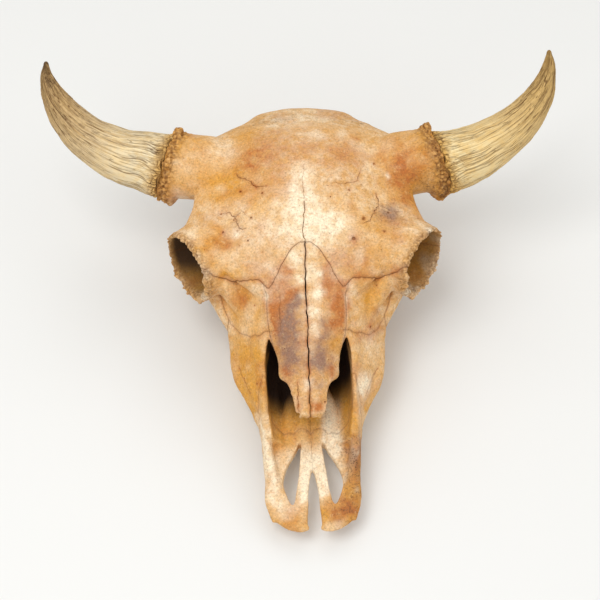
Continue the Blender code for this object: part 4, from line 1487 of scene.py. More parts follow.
SEAM_MARKS = {
    # depth and width of each seam's groove, then width and strength of its dark line
    "crown": (0.5, 1.6, 0.6, 0.6), "middle": (0.9, 2.2, 0.8, 0.75), "flank": (0.4, 1.4, 0.6, 0.5),
    "tear": (0.3, 1.4, 0.6, 0.35), "cheek": (0.3, 1.4, 0.6, 0.3), "muzzle": (0.3, 1.4, 0.6, 0.35),
}


def bumps(points: Array) -> tuple[Array, Array, Array, Array]:
    """Domes and crevices of the coarse and then of the fine knobs on burrs and rims."""
    return *pebbles(points, 6.4, 61), *pebbles(points, 3.4, 67)


@dataclass
class Relief:
    """Moves the whole skull's points in and out for its knobs, grooves, cracks, pits and grain."""

    snout: Snout
    rims: EyeRims
    base: HornBases
    seams: Seams
    rugged: tuple = (((98, 322, 181), 15.0), ((-80, 314, 186), 13.0), ((66, 306, 187), 8.0))

    def masks(self, points: Array) -> Masks:
        """Where each kind of surface is, from 0 to 1.

        Args:
            points: places, one to a row.

        Returns:
            One value for each point, by the kind's name.
        """
        reach, out = self.rims.place(points)
        past = self.base.past_seat(points)
        x, y, z = points.T
        wide = np.abs(x)
        side_on = (wide > 84) & (y < 336)
        inside = ease((self.rims.radius + 4.5 - out) / 2) * ease((3 - reach) / 5) * ease((reach + 80) / 8)
        within = ease((y - 76) / 30) * ease((316 - y) / 34) * (z > 38)
        under = ease((self.snout.under_roof(points) - 3.8) / 2.5)
        # the holes that are painted dark inside as shade
        hole = np.zeros(len(points))
        for side in Side:
            for line, radius in HOLES:
                away, _ = from_line(points, np.array(line) * (side.value, 1.0, 1.0))
                hole = np.maximum(hole, ease((radius + 0.8 - away) / 1.6))
        return {
            "rim": bell(reach + 1, 6.0) * (out < 52) * (out > 34) * side_on,
            "socket": inside * side_on,
            "burr": bell(past + 6, 9.5) * (wide > 118) * (y > 350),
            "cavity": under * ease((self.snout.side_wall(points) + 1.4 - wide) / 1.2) * within,
            "back": ease((y - 440) / 18) * ease((z - 24) / 20),
            # shelf: the nasal shelf on the animal's left only, painted lit and left out of the cavity's
            # painted shade
            "shelf": np.exp(-(((x - 24) / 11) ** 4)) * ease((166 - y) / 24) * (z < 80),
            "hole": hole,
        }

    def neck_shield(self, points: Array) -> Array:
        """How far the back of the skull moves outwards: nape ridge, crest, hollows beside it and scars.

        Args:
            points: places, one to a row.

        Returns:
            Millimetres for each point.
        """
        wide, z = np.abs(points[:, 0]), points[:, 2]
        line = z - 150 + 0.0045 * wide**2 + 3 * noise(points, 16.0, 23)
        nape = 3.2 * bell(line, 4.5) - 1.6 * bell(line + 11, 7)
        nape += 3.0 * bell(wide, 3.6) * ease((z - 96) / 14) * ease((150 - z) / 12)
        nape -= 4.5 * np.exp(-(((wide - 44) / 24) ** 2) - ((z - 116) / 19) ** 2)
        nape -= 3.5 * np.exp(-(((wide - 60) / 9) ** 2) - ((z - 66) / 22) ** 2)
        scars = noise(points * (1.0, 1.0, 0.6), 10.0, 27, 3)
        scars = scars + 0.5 * noise(points * (1.0, 1.0, 0.5), 4.5, 29, 2)
        return nape + 1.5 * scars * ease((155 - z) / 12) * ease((z - 80) / 20)

    def shape(self, points: Array) -> Array:
        """How far each point moves outwards.

        The sum of: swells and grain (noise of 24, 8 and 3.4 mm), knobs on burr and rims (the domes and
        crevices of cellular noise), seams and grooves (a bell curve of the distance from each), rougher
        brows, and lengthwise ridges on the jaws and nasals (noise stretched along y).

        Args:
            points: the skull's points.

        Returns:
            The move of each point, inwards where it is negative.
        """
        mask = self.masks(points)
        x, y, z = points.T
        wide = np.abs(x)
        move = 0.9 * noise(points, 24.0, 3, 2) + 0.22 * noise(points, 8.0, 5) + 0.12 * noise(points, 3.4, 7)
        dome, crevice, fine, fine_gap = bumps(points)
        knob = 2.8 * dome - 1.0 - 1.8 * crevice + 1.3 * fine
        move += mask["burr"] * (knob + 2.4 * noise(points, 9.0, 63, 2) + 0.8 * noise(points, 4.2, 65, 2))
        move += mask["rim"] * (2.0 * fine - 0.9 + 1.6 * (dome - 0.5) - 0.5 * fine_gap)
        near = self.seams.nearness(points)
        for name, (depth, width, _, _) in SEAM_MARKS.items():
            move -= depth * bell(near[name], width)
            move += 0.35 * depth * bell(near[name] - 3.4, 1.8)
        bent = points + 1.5 * wander(points, 6.0, 71)
        for groove in GROOVES:
            reach, share = from_line(bent, groove.line)
            move -= groove.depth * bell(reach, groove.width) * ease(np.minimum(share, 1 - share) * 5 + 0.1)
        brow = np.exp(-(((wide - 88) / 34) ** 2) - ((y - 308) / 42) ** 2) * (z > 140)
        move += brow * (0.8 * noise(points, 10.0, 83, 2) + 0.35 * noise(points, 5.0, 85))
        scab = 1.5 * noise(points, 6.5, 87, 3) - 1.2 * ease(noise(points, 4.0, 89) * 2 - 0.4)
        for place, size in self.rugged:
            move += np.exp(-(((points - place) ** 2).sum(axis=1) / size**2)) * scab
        stretched = points * (1.0, 0.16, 1.0)
        jaw = ease((262 - y) / 40) * ease((y - 60) / 40) * ease((wide - 40) / 8)
        nasal = ease((270 - y) / 20) * (z > np.interp(y, [100, 300], [98, 170])) * (wide < 44)
        move += 0.8 * jaw * noise(stretched, 9.0, 13, 2) + 0.35 * nasal * noise(stretched, 4.5, 17, 2)
        move += nasal * ease((150 - y) / 12) * noise(points, 5.0, 19, 2)
        return move + mask["back"] * self.neck_shield(points)


@dataclass
class Skull:
    """The whole skull as one body, until it is parted into bones."""

    voxel: float = 1.5
    smoothing: int = 6
    fewest_points: int = 400
    snout: Snout = field(default_factory=Snout)
    cranium: Cranium = field(default_factory=Cranium)
    rims: EyeRims = field(default_factory=EyeRims)
    base: HornBases = field(default_factory=HornBases)
    muzzle: Muzzle = field(default_factory=Muzzle)
    seams: Seams = field(default_factory=Seams)
    damage: Damage = field(default_factory=Damage)

    @property
    def relief(self) -> Relief:
        """The relief that lies over these forms."""
        return Relief(self.snout, self.rims, self.base, self.seams)

    def build(self) -> Object:
        """Joins and hollows the rough forms, fuses them to one smooth skin and adds the relief.

        Returns:
            The whole skull.
        """
        skull = self.snout.body(Clay(new_collection("body")))
        for how, makers in (
            (Join.ADD, (self.cranium.forms, self.rims.forms, self.base.forms)),
            (Join.CUT, (self.snout.cavities,)),
            (Join.CUT, (self.rims.sockets, self.cranium.hollows)),
            (Join.ADD, (self.snout.roof_plate, self.snout.shelves, self.muzzle.forms)),
            (Join.CUT, (self.muzzle.openings, self.snout.notches)),
        ):
            clay = Clay(new_collection("forms"))
            for maker in makers:
                maker(clay)
            combine(skull, clay.home, how)
        fuse = skull.modifiers.new("fuse", "REMESH")
        fuse.mode = "VOXEL"
        fuse.voxel_size = self.voxel * MM
        smooth = skull.modifiers.new("smooth", "SMOOTH")
        smooth.iterations = self.smoothing
        apply_modifiers(skull)
        points, normals = read_points(skull.data), read_normals(skull.data)
        move = self.relief.shape(points)
        write_points(skull.data, points + normals * move[:, None])
        clay = Clay(new_collection("floor"))
        clay.prism("below", [(-200, -50), (200, -50), (200, 550), (-200, 550)], -60, 0, 1.0)
        combine(skull, clay.home, Join.CUT)
        self.damage.cut(skull)
        return skull

    def bones(self) -> dict[str, tuple[Array, list]]:
        """Parts the skull and names each bone by a point that lies inside it.

        Returns:
            The points and faces of each bone, by its name.
        """
        skull = self.build()
        self.seams.part(skull, self.base)
        pieces = islands(skull.data, self.fewest_points)
        seeds = {"cranium": (0, 400, 190)}
        for side in Side:
            for bone, (x, y, z) in (
                ("nasal", (15, 212, 150)), ("lacrimal", (66, 238, 116)), ("zygomatic", (112, 278, 97)),
                ("maxilla", (74, 190, 50)), ("premaxilla", (30, 17, 27)),
            ):
                seeds[f"{bone}_{side.label}"] = (x * side.value, y, z)
        bpy.data.objects.remove(skull)
        trees = [BVHTree.FromPolygons(points.tolist(), faces) for points, faces in pieces]
        found = {name: piece_around(Vector(seed), trees) for name, seed in seeds.items()}
        if len(set(found.values())) < len(found):
            raise ValueError(f"two bones are still one piece: {found}")
        return {name: pieces[number] for name, number in found.items()}


def islands(mesh: Mesh, smallest: int) -> list[tuple[Array, list]]:
    """The separate closed surfaces of a mesh, as points in millimetres and faces.

    Every point takes the lowest number among the points it is joined to, over and over, until no number
    changes. Points with the same number make one surface.

    Args:
        mesh: the mesh to take apart.
        smallest: surfaces with fewer points are left out.

    Returns:
        Points and faces of each surface.
    """
    points = read_points(mesh)
    edges = np.empty(len(mesh.edges) * 2, np.int64)
    mesh.edges.foreach_get("vertices", edges)
    a, b = edges.reshape(-1, 2).T
    number, before = np.arange(len(points)), None
    while not np.array_equal(number, before):
        before = number.copy()
        low = np.minimum(before[a], before[b])
        np.minimum.at(number, a, low)
        np.minimum.at(number, b, low)
        number = number[number]
    faces = [tuple(face.vertices) for face in mesh.polygons]
    owner = number[[face[0] for face in faces]]
    found = []
    for root, count in zip(*np.unique(number, return_counts=True)):
        if count >= smallest:
            mine = np.flatnonzero(number == root)
            place = dict(zip(mine.tolist(), range(count)))
            own = [[place[k] for k in faces[i]] for i in np.flatnonzero(owner == root)]
            found.append((points[mine], own))
    return found


def piece_around(seed: Vector, trees: list[BVHTree]) -> int:
    """The number of the surface that has the seed inside it and nearest to its skin.

    Args:
        seed: a point inside the piece.
        trees: the surfaces.

    Returns:
        Its place in the list.
    """
    nearest = []
    for number, tree in enumerate(trees):
        place, normal, _, distance = tree.find_nearest(seed)
        if (seed - place).dot(normal) < 0:
            nearest.append((distance, number))
    return min(nearest)[1]


# Pieces with a surface of their own


@dataclass
class HornCore:
    """A bare horn core: a fluted, cracked and porous cone that curves out, up and back."""

    side: Side
    route: list
    base: HornBases
    plane: tuple = (0.0, 404.0, 163.0)
    lean: tuple = (0.0, 0.541, 0.841)
    rows: int = 240
    around: int = 390
    tip_round: float = 4.5
    flat: float = 0.96
    splits: int = 150

    def rings(self) -> tuple[Array, Array, Array, Array]:
        """The core's smooth skin.

        A ring's point is the axis point + radius * cos(turn) across + flat * radius * sin(turn) up. Near
        the seat the rings lean over to lie in the plane of the seat; at the tip they close in a half ball.

        Returns:
            Points, directions outwards, distance along the axis and turn, all by row and turn.
        """
        reach, rise, radius = np.array(self.route, float).T
        axis = np.array(self.plane) + reach[:, None] * (1.0, 0.0, 0.0) + rise[:, None] * np.array(self.lean)
        at = lengths(axis)
        table = np.column_stack([at, axis, radius])
        normal = unit(np.array(self.base.facing))
        seat = np.array(self.base.centre) + normal * (self.base.seat + 0.3)
        fine = np.linspace(0, at[-1], 2000)
        start = fine[np.argmax((along(table, fine)[:, :3] - seat) @ normal > 0)]
        grow = np.linspace(0, 1, self.rows)
        s = start + (at[-1] - start) * (0.35 * grow + 0.65 * grow**1.15)
        row = along(table, s)
        centre, wide = row[:, :3], row[:, 3]
        ahead = unit(np.gradient(centre, s, axis=0))
        lean = ease(1 - (s - start) / 34.0)[:, None]
        facing = unit(ahead * (1 - lean) + normal * lean)
        across = unit(np.cross(facing, (0.0, 0.0, 1.0)))
        up = np.cross(across, facing)
        cap = np.linspace(0, math.pi / 2, 9)[1:-1]
        last = len(s) - 1
        i = np.concatenate([np.arange(len(s)), np.full(len(cap), last)])
        shrink = np.concatenate([np.ones(len(s)), np.cos(cap)])
        shift = np.concatenate([np.zeros(len(s)), np.sin(cap) * self.tip_round])
        turn = turns(self.around)[None, :]
        outward = np.cos(turn)[..., None] * across[i][:, None]
        outward = outward + np.sin(turn)[..., None] * up[i][:, None] * self.flat
        middle = centre[i] + ahead[i] * shift[:, None]
        points = middle[:, None] + (wide[i] * shrink)[:, None, None] * outward
        s = np.concatenate([s, at[-1] + np.sin(cap) * self.tip_round]) - start
        s, turn = np.broadcast_arrays(s[:, None], turn)
        return points, unit(outward), s, turn

    def split(self, turn: Array, s: Array, wide: Array, seed: int) -> Array:
        """Long cracks that run along the core, from 0 to 1.

        A crack is a bell curve of the distance round the core from a line that keeps its turn but for a slow
        drift, and fades out at its two ends. Most start near the seat.

        Args:
            turn: turn of each point about the axis.
            s: its distance along the axis.
            wide: the core's radius there.
            seed: picks the places.

        Returns:
            One value for each point.
        """
        draw = np.random.default_rng(seed)
        length = s.max()
        cracked = np.zeros(s.shape)
        drift = np.stack([s * 0.035, s * 0, s * 0], axis=-1)
        shared = 0.09 * noise(drift, 1.0, seed + 1, 2)
        for number in range(self.splits):
            middle = draw.uniform(0, 2 * math.pi)
            start = draw.uniform(-10, 20) if number % 3 else draw.uniform(20, 0.8 * length)
            end = start + draw.uniform(14, 75)
            width = draw.uniform(0.30, 0.85)
            own = 0.025 * noise(drift * 1.6 + number, 1.0, seed + 2, 2)
            off = (turn - middle - shared - own + math.pi) % (2 * math.pi) - math.pi
            fade = ease((s - start) / 8) * ease((end - s) / 14)
            cracked = np.maximum(cracked, draw.uniform(0.35, 1.0) * fade * bell(off * wide, width))
        return cracked

    def relief(self, points: Array, outward: Array, s: Array, turn: Array) -> tuple[Array, Masks]:
        """Where the core is fluted, cracked, porous and dark.

        Flutes are noise stretched along the axis. Pores are the crevices of cellular noise, stretched less.
        All are laid out on turn and distance along the axis.

        Args:
            points: the smooth skin by row and turn.
            outward: the directions outwards there.
            s: the distances along the axis.
            turn: the turns about it.

        Returns:
            How far each point moves outwards, and masks by name.
        """
        length = s.max()
        seed = 100 if self.side is Side.RIGHT else 200
        laid = np.stack([22 * np.cos(turn), 22 * np.sin(turn), s], axis=-1)
        drift = laid + wander(laid * (1, 1, 0.25), 9.0, seed, 2)
        middle = points.mean(axis=1, keepdims=True)
        wide = np.linalg.norm(points - middle, axis=-1)
        crack = self.split(turn, s, wide, seed) * ease((length - s) / 10)
        flute = noise(drift * (1, 1, 0.035), 2.4, seed + 5, 2)
        broad = noise(drift * (1, 1, 0.05), 7.0, seed + 6, 2)
        tipward = ease((s / length - 0.35) / 0.5)
        _, gaps = pebbles(drift * (1, 1, 0.3), 2.4, seed + 31)
        holes = ease((noise(drift * (1, 1, 0.35), 1.8, seed + 37) - 0.38) / 0.25)
        holes = holes * held(0.12 + 0.9 * tipward + 0.7 * bell(s, 16))
        dome, crevice = pebbles(points, 6.0, 61)
        seatward = bell(s, 11.0 + 6.0 * noise(middle + 40 * outward, 22.0, seed + 51))
        rough = noise(points, 2.2, seed + 43, 2)
        move = 0.30 * flute + 0.5 * broad - 0.9 * crack - 0.6 * holes - 0.3 * gaps * tipward + 0.12 * rough
        move += seatward * (3.0 * dome - 0.6 - 1.4 * crevice) + 0.7 * noise(points, 18.0, seed + 47, 2)
        move *= np.clip((length + 1.0 - s) / 30, 0.1, 1)
        # under, how far the skin faces down, carries painted shade underneath; crevice carries painted shade
        # between the seat's knobs
        return move, {
            "crack": held(crack + 0.8 * holes + 0.4 * gaps * tipward), "tip": s / length,
            "seat": seatward, "crevice": crevice * seatward, "under": outward[..., 2] * -0.5 + 0.5,
            "fibre": laid * MM,
        }

    def build(self, home: Collection) -> tuple[Object, Masks]:
        """Builds the core with its relief, seated on its neck.

        Args:
            home: the collection that takes the piece.

        Returns:
            The piece, and its masks by name.
        """
        points, outward, s, turn = self.rings()
        move, masks = self.relief(points, outward, s, turn)
        points = points + outward * move[..., None]
        points[0] -= outward[0] * 1.2
        past = self.base.past_seat(points.reshape(-1, 3)).reshape(s.shape)
        push = np.where(s < 0.5, 0.3 - past, np.clip(0.3 - past, 0, None)) * (s < 30)
        points += unit(np.array(self.base.facing)) * push[..., None]
        points = points * (self.side.value, 1.0, 1.0)
        faces = tube_faces(*points.shape[:2])
        piece = mesh_object(f"bone_horn_core_{self.side.label}", points.reshape(-1, 3), faces, home)
        return piece, {name: mask.reshape(s.size, *mask.shape[2:]) for name, mask in masks.items()}


@dataclass
class CheekTeeth:
    """One row of high crowned cheek teeth, worn flat, with the crescent pits of a grazer."""

    side: Side
    start: float = 127.0
    root_top: float = 34.0
    around: int = 72
    blunt: float = 0.65
    half_fill: float = 0.485
    teeth: tuple = (
        # length along the jaw, width, outer face from the midline, lobes
        (17, 18, 54.0, 1), (18, 21, 58.0, 1), (18, 23, 61.5, 1), (27, 26, 65.0, 2), (31, 28, 67.5, 2),
        (34, 28, 67.0, 2),
    )

    def crown(self, middle: Array, half: Array, seed: int) -> tuple[Array, Array]:
        """One lobe of a tooth.

        The wall's ring is a rounded oblong, cos and sin to the power blunt, with two fine ridges on its
        outer face. The worn face closes it by shrinking rings: enamel stands up at the edge and around a
        crescent pit, and the dentine between them is hollowed.

        Args:
            middle: the lobe's middle in x and y.
            half: its half width and half length.
            seed: picks the wall's waves.

        Returns:
            The rings of points, and how dark each point is.
        """
        turn = turns(self.around)
        wave = np.column_stack([np.cos(turn), np.sin(turn)])
        shape = np.sign(wave) * np.abs(wave) ** self.blunt
        outer = held(np.cos(turn)) ** 2
        waves = noise(np.column_stack([shape, 0 * turn]), 0.6, seed)
        ridge = 1 + 0.035 * outer * np.cos(6 * turn) + 0.02 * waves
        heights = np.array([self.root_top, 24, 14, 8, 4, 2.2, 1.0, 0.35])
        swell = np.array([0.9, 0.97, 1.0, 1.0, 0.99, 0.985, 0.965, 0.93])
        wall = [
            np.column_stack([shape * (half * (k * ridge)[:, None]), np.full(self.around, z)])
            for z, k in zip(heights, swell)
        ]
        dark = [np.full(self.around, 0.55 * ease((9 - z) / 9)) for z in heights]
        for shrink in np.linspace(0.88, 0.04, 15):
            flat = shape * (half * (shrink * ridge)[:, None])
            u, v = flat[:, 0] / half[0], flat[:, 1] / half[1]
            crescent = np.abs(np.hypot((u - 0.55) * 1.1, v * 0.9) - 0.62) + 0.5 * np.clip(u - 0.45, 0, None)
            pit = bell(crescent, 0.13)
            rim = held(bell(crescent - 0.26, 0.08) + bell(shrink - 0.88, 0.08))
            wall.append(np.column_stack([flat, 0.35 + 0.9 * (1 - rim) * (shrink < 0.86) + 3.2 * pit]))
            dark.append(held(0.25 + 0.75 * pit - 0.5 * rim))
        rings = np.array(wall)
        rings[..., :2] += middle
        return rings, np.array(dark)

    def build(self, home: Collection) -> tuple[Object, Masks]:
        """Builds the row as one piece of closed crowns, and says how dark each point is.

        Args:
            home: the collection that takes the piece.

        Returns:
            The row, and its darkness as a mask.
        """
        points, faces, darks = [], [], []
        y, count = self.start, 0
        for number, (length, width, outer, lobes) in enumerate(self.teeth):
            span = length / lobes
            for lobe in range(lobes):
                middle = np.array([outer - width / 2, y + span * (lobe + 0.5)])
                half = np.array([width / 2, span * self.half_fill])
                rings, dark = self.crown(middle, half, 300 + 10 * number + lobe)
                points.append(rings.reshape(-1, 3) * (self.side.value, 1.0, 1.0))
                faces += [[k + count for k in face] for face in tube_faces(*rings.shape[:2])]
                darks.append(dark.ravel())
                count += len(points[-1])
            y += length
        piece = mesh_object(f"teeth_{self.side.label}", np.concatenate(points), faces, home)
        return piece, {"dark": np.concatenate(darks)}


# Stains, painted shade and painted highlights, kept as attributes of the points

STAINS = {
    # by tone: x, y, z, radius and strength of soft patches
    "cream": (
        # forehead, brows, crest and necks
        (4, 300, 195, 26, 1.0), (-8, 330, 201, 20, 0.75), (36, 296, 190, 20, 0.8), (-34, 288, 188, 16, 0.7),
        (-4, 362, 206, 13, 0.5), (-104, 400, 196, 17, 0.35), (-84, 404, 192, 12, 0.35),
        (-78, 298, 184, 9, 0.6), (74, 290, 181, 8, 0.5), (-38, 262, 165, 12, 0.6), (36, 256, 162, 12, 0.5),
        (99, 371, 184, 4, 0.7), (0, 455, 187, 30, 0.45), (-142, 392, 180, 13, 0.8),
        (-144, 376, 160, 11, 0.7),
        # upper jaws
        (-66, 218, 112, 14, 0.4), (52, 236, 150, 9, 0.7), (70, 196, 96, 16, 0.45),
        # beside the midline of the nasals
        (9, 248, 170, 9, 1.0), (10, 228, 160, 8, 1.0), (9, 208, 152, 8, 0.9), (8, 190, 144, 7, 0.7),
        (-7, 263, 175, 9, 0.8), (-6, 245, 168, 6, 0.6), (-4, 226, 160, 5, 0.5), (4, 170, 137, 6, 0.4),
        (-5, 130, 118, 7, 0.4),
        # the muzzle's prongs
        (-46, 72, 51, 24, 0.75), (-46, 40, 40, 15, 0.5), (-50, 108, 68, 16, 0.45), (3, 84, 44, 24, 1.6),
        (-6, 50, 34, 16, 1.2), (10, 50, 34, 14, 0.8), (66, 155, 78, 16, 0.7), (-12, 104, 46, 12, 0.9),
        (53, 78, 56, 3, 0.8), (52, 54, 46, 3, 0.7), (48, 40, 40, 4, 0.6),
        # eye rims
        (-128, 300, 176, 14, 0.5), (122, 262, 110, 14, 0.6), (-112, 262, 120, 12, 0.5),
        (136, 300, 174, 12, 0.4),
    ),
    "gold": (
        # forehead, towards the animal's right horn, and brows
        (-104, 402, 195, 20, 0.6), (-96, 364, 184, 26, 1.0), (-84, 350, 188, 18, 0.7),
        (-120, 410, 188, 22, 0.55), (-62, 420, 196, 24, 0.4), (-102, 284, 176, 24, 0.65),
        (86, 276, 172, 18, 0.4), (-92, 258, 158, 16, 0.6), (60, 420, 196, 24, 0.35),
        (126, 372, 178, 26, 0.8), (104, 345, 180, 20, 0.55), (92, 400, 190, 22, 0.5),
        (-136, 372, 168, 14, 0.4), (-60, 274, 172, 14, 0.5),
        # upper jaws and cheeks
        (-72, 195, 98, 34, 0.9), (-70, 240, 126, 24, 0.45), (-60, 140, 80, 30, 0.8),
        (68, 240, 124, 20, 0.75), (72, 186, 98, 30, 0.45), (60, 140, 80, 26, 0.6), (-70, 160, 60, 24, 0.7),
        (72, 160, 60, 24, 0.5),
        # nasals
        (30, 176, 130, 10, 0.6), (-34, 176, 127, 8, 0.6), (-14, 132, 117, 8, 0.5),
        # muzzle
        (-46, 70, 52, 26, 0.3), (-30, 24, 34, 18, 0.5), (30, 22, 34, 22, 0.9), (48, 62, 50, 30, 0.8),
        (49, 84, 58, 30, 0.9), (79, 300, 183, 18, 0.7), (-80, 302, 184, 18, 0.5), (64, 262, 168, 14, 0.4),
        # burrs
        (-152, 388, 182, 18, 0.8), (148, 404, 192, 16, 0.8),
    ),
    "rust": (
        # the dome, the left brow and neck, and around the cracks
        (-30, 395, 206, 40, 0.35), (30, 385, 206, 40, 0.3), (-16, 338, 203, 9, 0.55),
        (118, 388, 190, 20, 0.85), (112, 362, 178, 16, 0.7), (-60, 390, 200, 26, 0.4),
        (-120, 396, 188, 12, 0.6), (55, 286, 182, 9, 0.9), (-48, 296, 186, 12, 0.5),
        (-84, 292, 180, 16, 0.4), (100, 308, 180, 16, 0.5), (60, 262, 168, 22, 0.5),
        (-52, 262, 169, 18, 0.5), (135, 388, 175, 14, 0.6), (-52, 350, 199, 9, 0.45),
        # upper jaws
        (66, 214, 108, 14, 0.4), (60, 150, 74, 12, 0.35), (48, 226, 146, 9, 0.5),
        # the nasals' flanks
        (-29, 236, 158, 15, 1.7), (-33, 218, 149, 13, 1.6), (-23, 252, 168, 11, 1.2),
        (-35, 198, 140, 12, 1.2), (30, 238, 160, 13, 1.7), (33, 222, 150, 12, 1.6), (26, 254, 168, 9, 1.0),
        (35, 206, 143, 10, 1.2), (0, 200, 148, 36, 0.3), (0, 150, 126, 32, 0.35), (-22, 150, 121, 9, 0.5),
        (26, 150, 120, 9, 0.6), (-14, 112, 110, 8, 0.6), (10, 112, 111, 7, 0.8),
        # muzzle
        (-26, 20, 33, 13, 0.35), (34, 18, 33, 15, 0.6), (50, 58, 46, 16, 0.55), (49, 84, 60, 20, 0.7),
        (-72, 240, 131, 14, 0.4),
        # burrs
        (152, 396, 186, 18, 0.6), (-150, 376, 150, 12, 0.6),
    ),
    "violet": (
        # grey streaks on the nasals, then the rough brows
        (-16, 208, 150, 10, 1.3), (-19, 194, 144, 11, 1.3), (-22, 180, 136, 11, 1.2),
        (-11, 222, 156, 9, 1.1), (-24, 166, 128, 11, 0.9), (18, 200, 147, 8, 0.4), (21, 186, 140, 9, 0.65),
        (14, 170, 135, 11, 0.9), (-14, 160, 130, 12, 0.7), (12, 156, 129, 12, 0.8), (11, 130, 118, 7, 0.4),
        (98, 322, 181, 11, 0.6), (-80, 310, 186, 7, 0.4), (112, 322, 178, 12, 0.35),
    ),
    "dirt": (
        # left neck, the muzzle's left half, left brow, then the left burr
        (130, 366, 170, 16, 0.25), (36, 18, 33, 15, 0.45), (51, 62, 50, 13, 0.55), (50, 38, 38, 11, 0.5),
        (50, 88, 62, 16, 0.5), (48, 72, 54, 24, 0.35), (90, 316, 183, 14, 0.38), (150, 382, 168, 14, 0.75),
        (158, 376, 150, 12, 0.6), (152, 404, 192, 16, 0.35),
    ),
}


@dataclass
class Weathering:
    """Works out where the old bone is cream, gold, rusty, violet, dirty or shaded."""

    skull: Skull

    def stains(self, points: Array, mottle: Array) -> Masks:
        """The tones of the stains and of broad noise, made uneven by mottle.

        A stain fades by the bell curve of the distance from its middle, after the points are shifted by
        coarse noise, so that its edge is ragged.

        Args:
            points: places, one to a row.
            mottle: noise there, from 0 to 1.

        Returns:
            One value for each point, by tone.
        """
        shifted = points + 5.0 * wander(points, 15.0, 81, 3)
        tones = {}
        for name, stains in STAINS.items():
            tones[name] = np.zeros(len(points))
            for *place, radius, strength in stains:
                tones[name] += strength * bell(np.linalg.norm(shifted - place, axis=1), radius)
        tones["cream"] += 0.3 * ease(noise(points, 30.0, 95, 2) * 2 - 0.3)
        tones["rust"] += 0.3 * ease(noise(points, 26.0, 96, 2) * 2 - 0.2)
        tones["gold"] += 0.35 * ease(noise(points, 34.0, 97, 2) * 2) + 0.5 * ease((70 - points[:, 2]) / 60)
        return {name: held(tone * (0.5 + mottle)) for name, tone in tones.items()}

    def shade(self, points: Array, mask: Masks) -> Array:
        """Painted shade: how dark the eye sockets, the nasal cavity and the small holes are painted inside,
        darker further in.

        Args:
            points: places, one to a row.
            mask: where each kind of surface is.

        Returns:
            One value for each point.
        """
        x, y, z = points.T
        reach, _ = self.skull.rims.place(points)
        rise = 0.85 * (y - 283) + 0.5 * (z - 137)
        # painted shade in the sockets, the animal's right socket (x < 0) darker than its left
        shade = np.where(x > 0, 0.55, 0.96) * (0.45 + 0.55 * ease((rise + 20) / 30))
        dark = mask["socket"] * ease((1 - reach) / 12) * shade
        # painted shade in the nasal cavity, from further back on the animal's left, and not on the lit shelf
        start = np.where(x > 0, 134.0, 114.0)
        deep = mask["cavity"] * ease((y - start) / 44) * (1 - mask["shelf"])
        return held(np.maximum(np.maximum(dark, deep), 0.92 * mask["hole"]))

    def tones(self, points: Array) -> Masks:
        """The strength of each tone at each point.

        Args:
            points: a bone's points.

        Returns:
            Strengths from 0 to 1 by tone: cream, with painted highlights; gold, rust, violet, dirt; dark,
                which is painted shade; and seam, with painted shade in crevices.
        """
        x, y, z = points.T
        mottle = 0.5 + 0.5 * noise(points, 11.0, 91, 3)
        tones = self.stains(points, mottle)
        mask = self.skull.relief.masks(points)
        near = self.skull.seams.nearness(points)
        seam, rust = self.skull.damage.darkness(points)
        dome, crevice, fine, fine_gap = bumps(points)
        burr, rim, shelf = mask["burr"], mask["rim"], mask["shelf"]
        # gaps: painted shade in the crevices between the knobs of burrs and rims
        gaps = np.maximum(burr * (0.75 * crevice + 0.35 * fine_gap), rim * (0.5 * fine_gap + 0.4 * crevice))
        inside = mask["cavity"] * (1 - shelf)
        raised = 1.1 * inside + 1.3 * burr + 1.0 * mask["socket"] + 0.85 * rim
        # less gold on the animal's left shelf, which is painted lit
        tones["gold"] = held(tones["gold"] * (1 - 0.3 * shelf) + raised)
        tones["rust"] *= 1 - 0.7 * held(burr + rim + mask["cavity"])
        tones["cream"] *= (1 - 0.9 * burr) * (1 - 0.85 * inside)
        # painted highlights in cream on the knob tops of burrs and rims, and painted light in cream on the
        # animal's left shelf
        tones["cream"] += 0.15 * burr * dome * fine + 0.3 * rim * fine + 0.9 * shelf * mask["cavity"]
        tones["cream"] = held(held(tones["cream"]) + 0.45 * mottle * bell(near["flank"], 2.4))
        below = ease((72 - z) / 30) * (y > 180)
        patches = ease(noise(points, 18.0, 103, 3) * 1.6 - 0.1) * np.maximum(mask["back"], below)
        crumbs = burr * ease(noise(points, 5.0, 101, 2) * 1.6) * np.where(x > 0, 0.45, 0.15)
        tones["dirt"] = held(tones["dirt"] + 0.25 * mask["back"] * crevice + 0.3 * patches + crumbs)
        # the seam mask also carries the painted shade of the crevices
        seam = np.maximum(seam, gaps)
        for name, (_, _, width, strength) in SEAM_MARKS.items():
            seam = np.maximum(seam, strength * bell(near[name], width))
            rust = np.maximum(rust, 0.75 * strength * bell(near[name], 2.6))
        tones["rust"] = held(tones["rust"] + rust)
        return tones | {"dark": self.shade(points, mask), "seam": held(seam)}


def paint(piece: Object, masks: Masks) -> None:
    """Stores masks, and places as rows of three, as attributes of the points for the material to read.

    Args:
        piece: the mesh's object.
        masks: what is stored, by name.
    """
    for name, values in masks.items():
        kind, key = ("FLOAT", "value") if values.ndim == 1 else ("FLOAT_VECTOR", "vector")
        layer = piece.data.attributes.new(name, kind, "POINT")
        layer.data.foreach_set(key, np.ascontiguousarray(values, np.float32).ravel())


# Finishes

Colour = tuple[float, float, float, float]
Value = float | NodeSocket


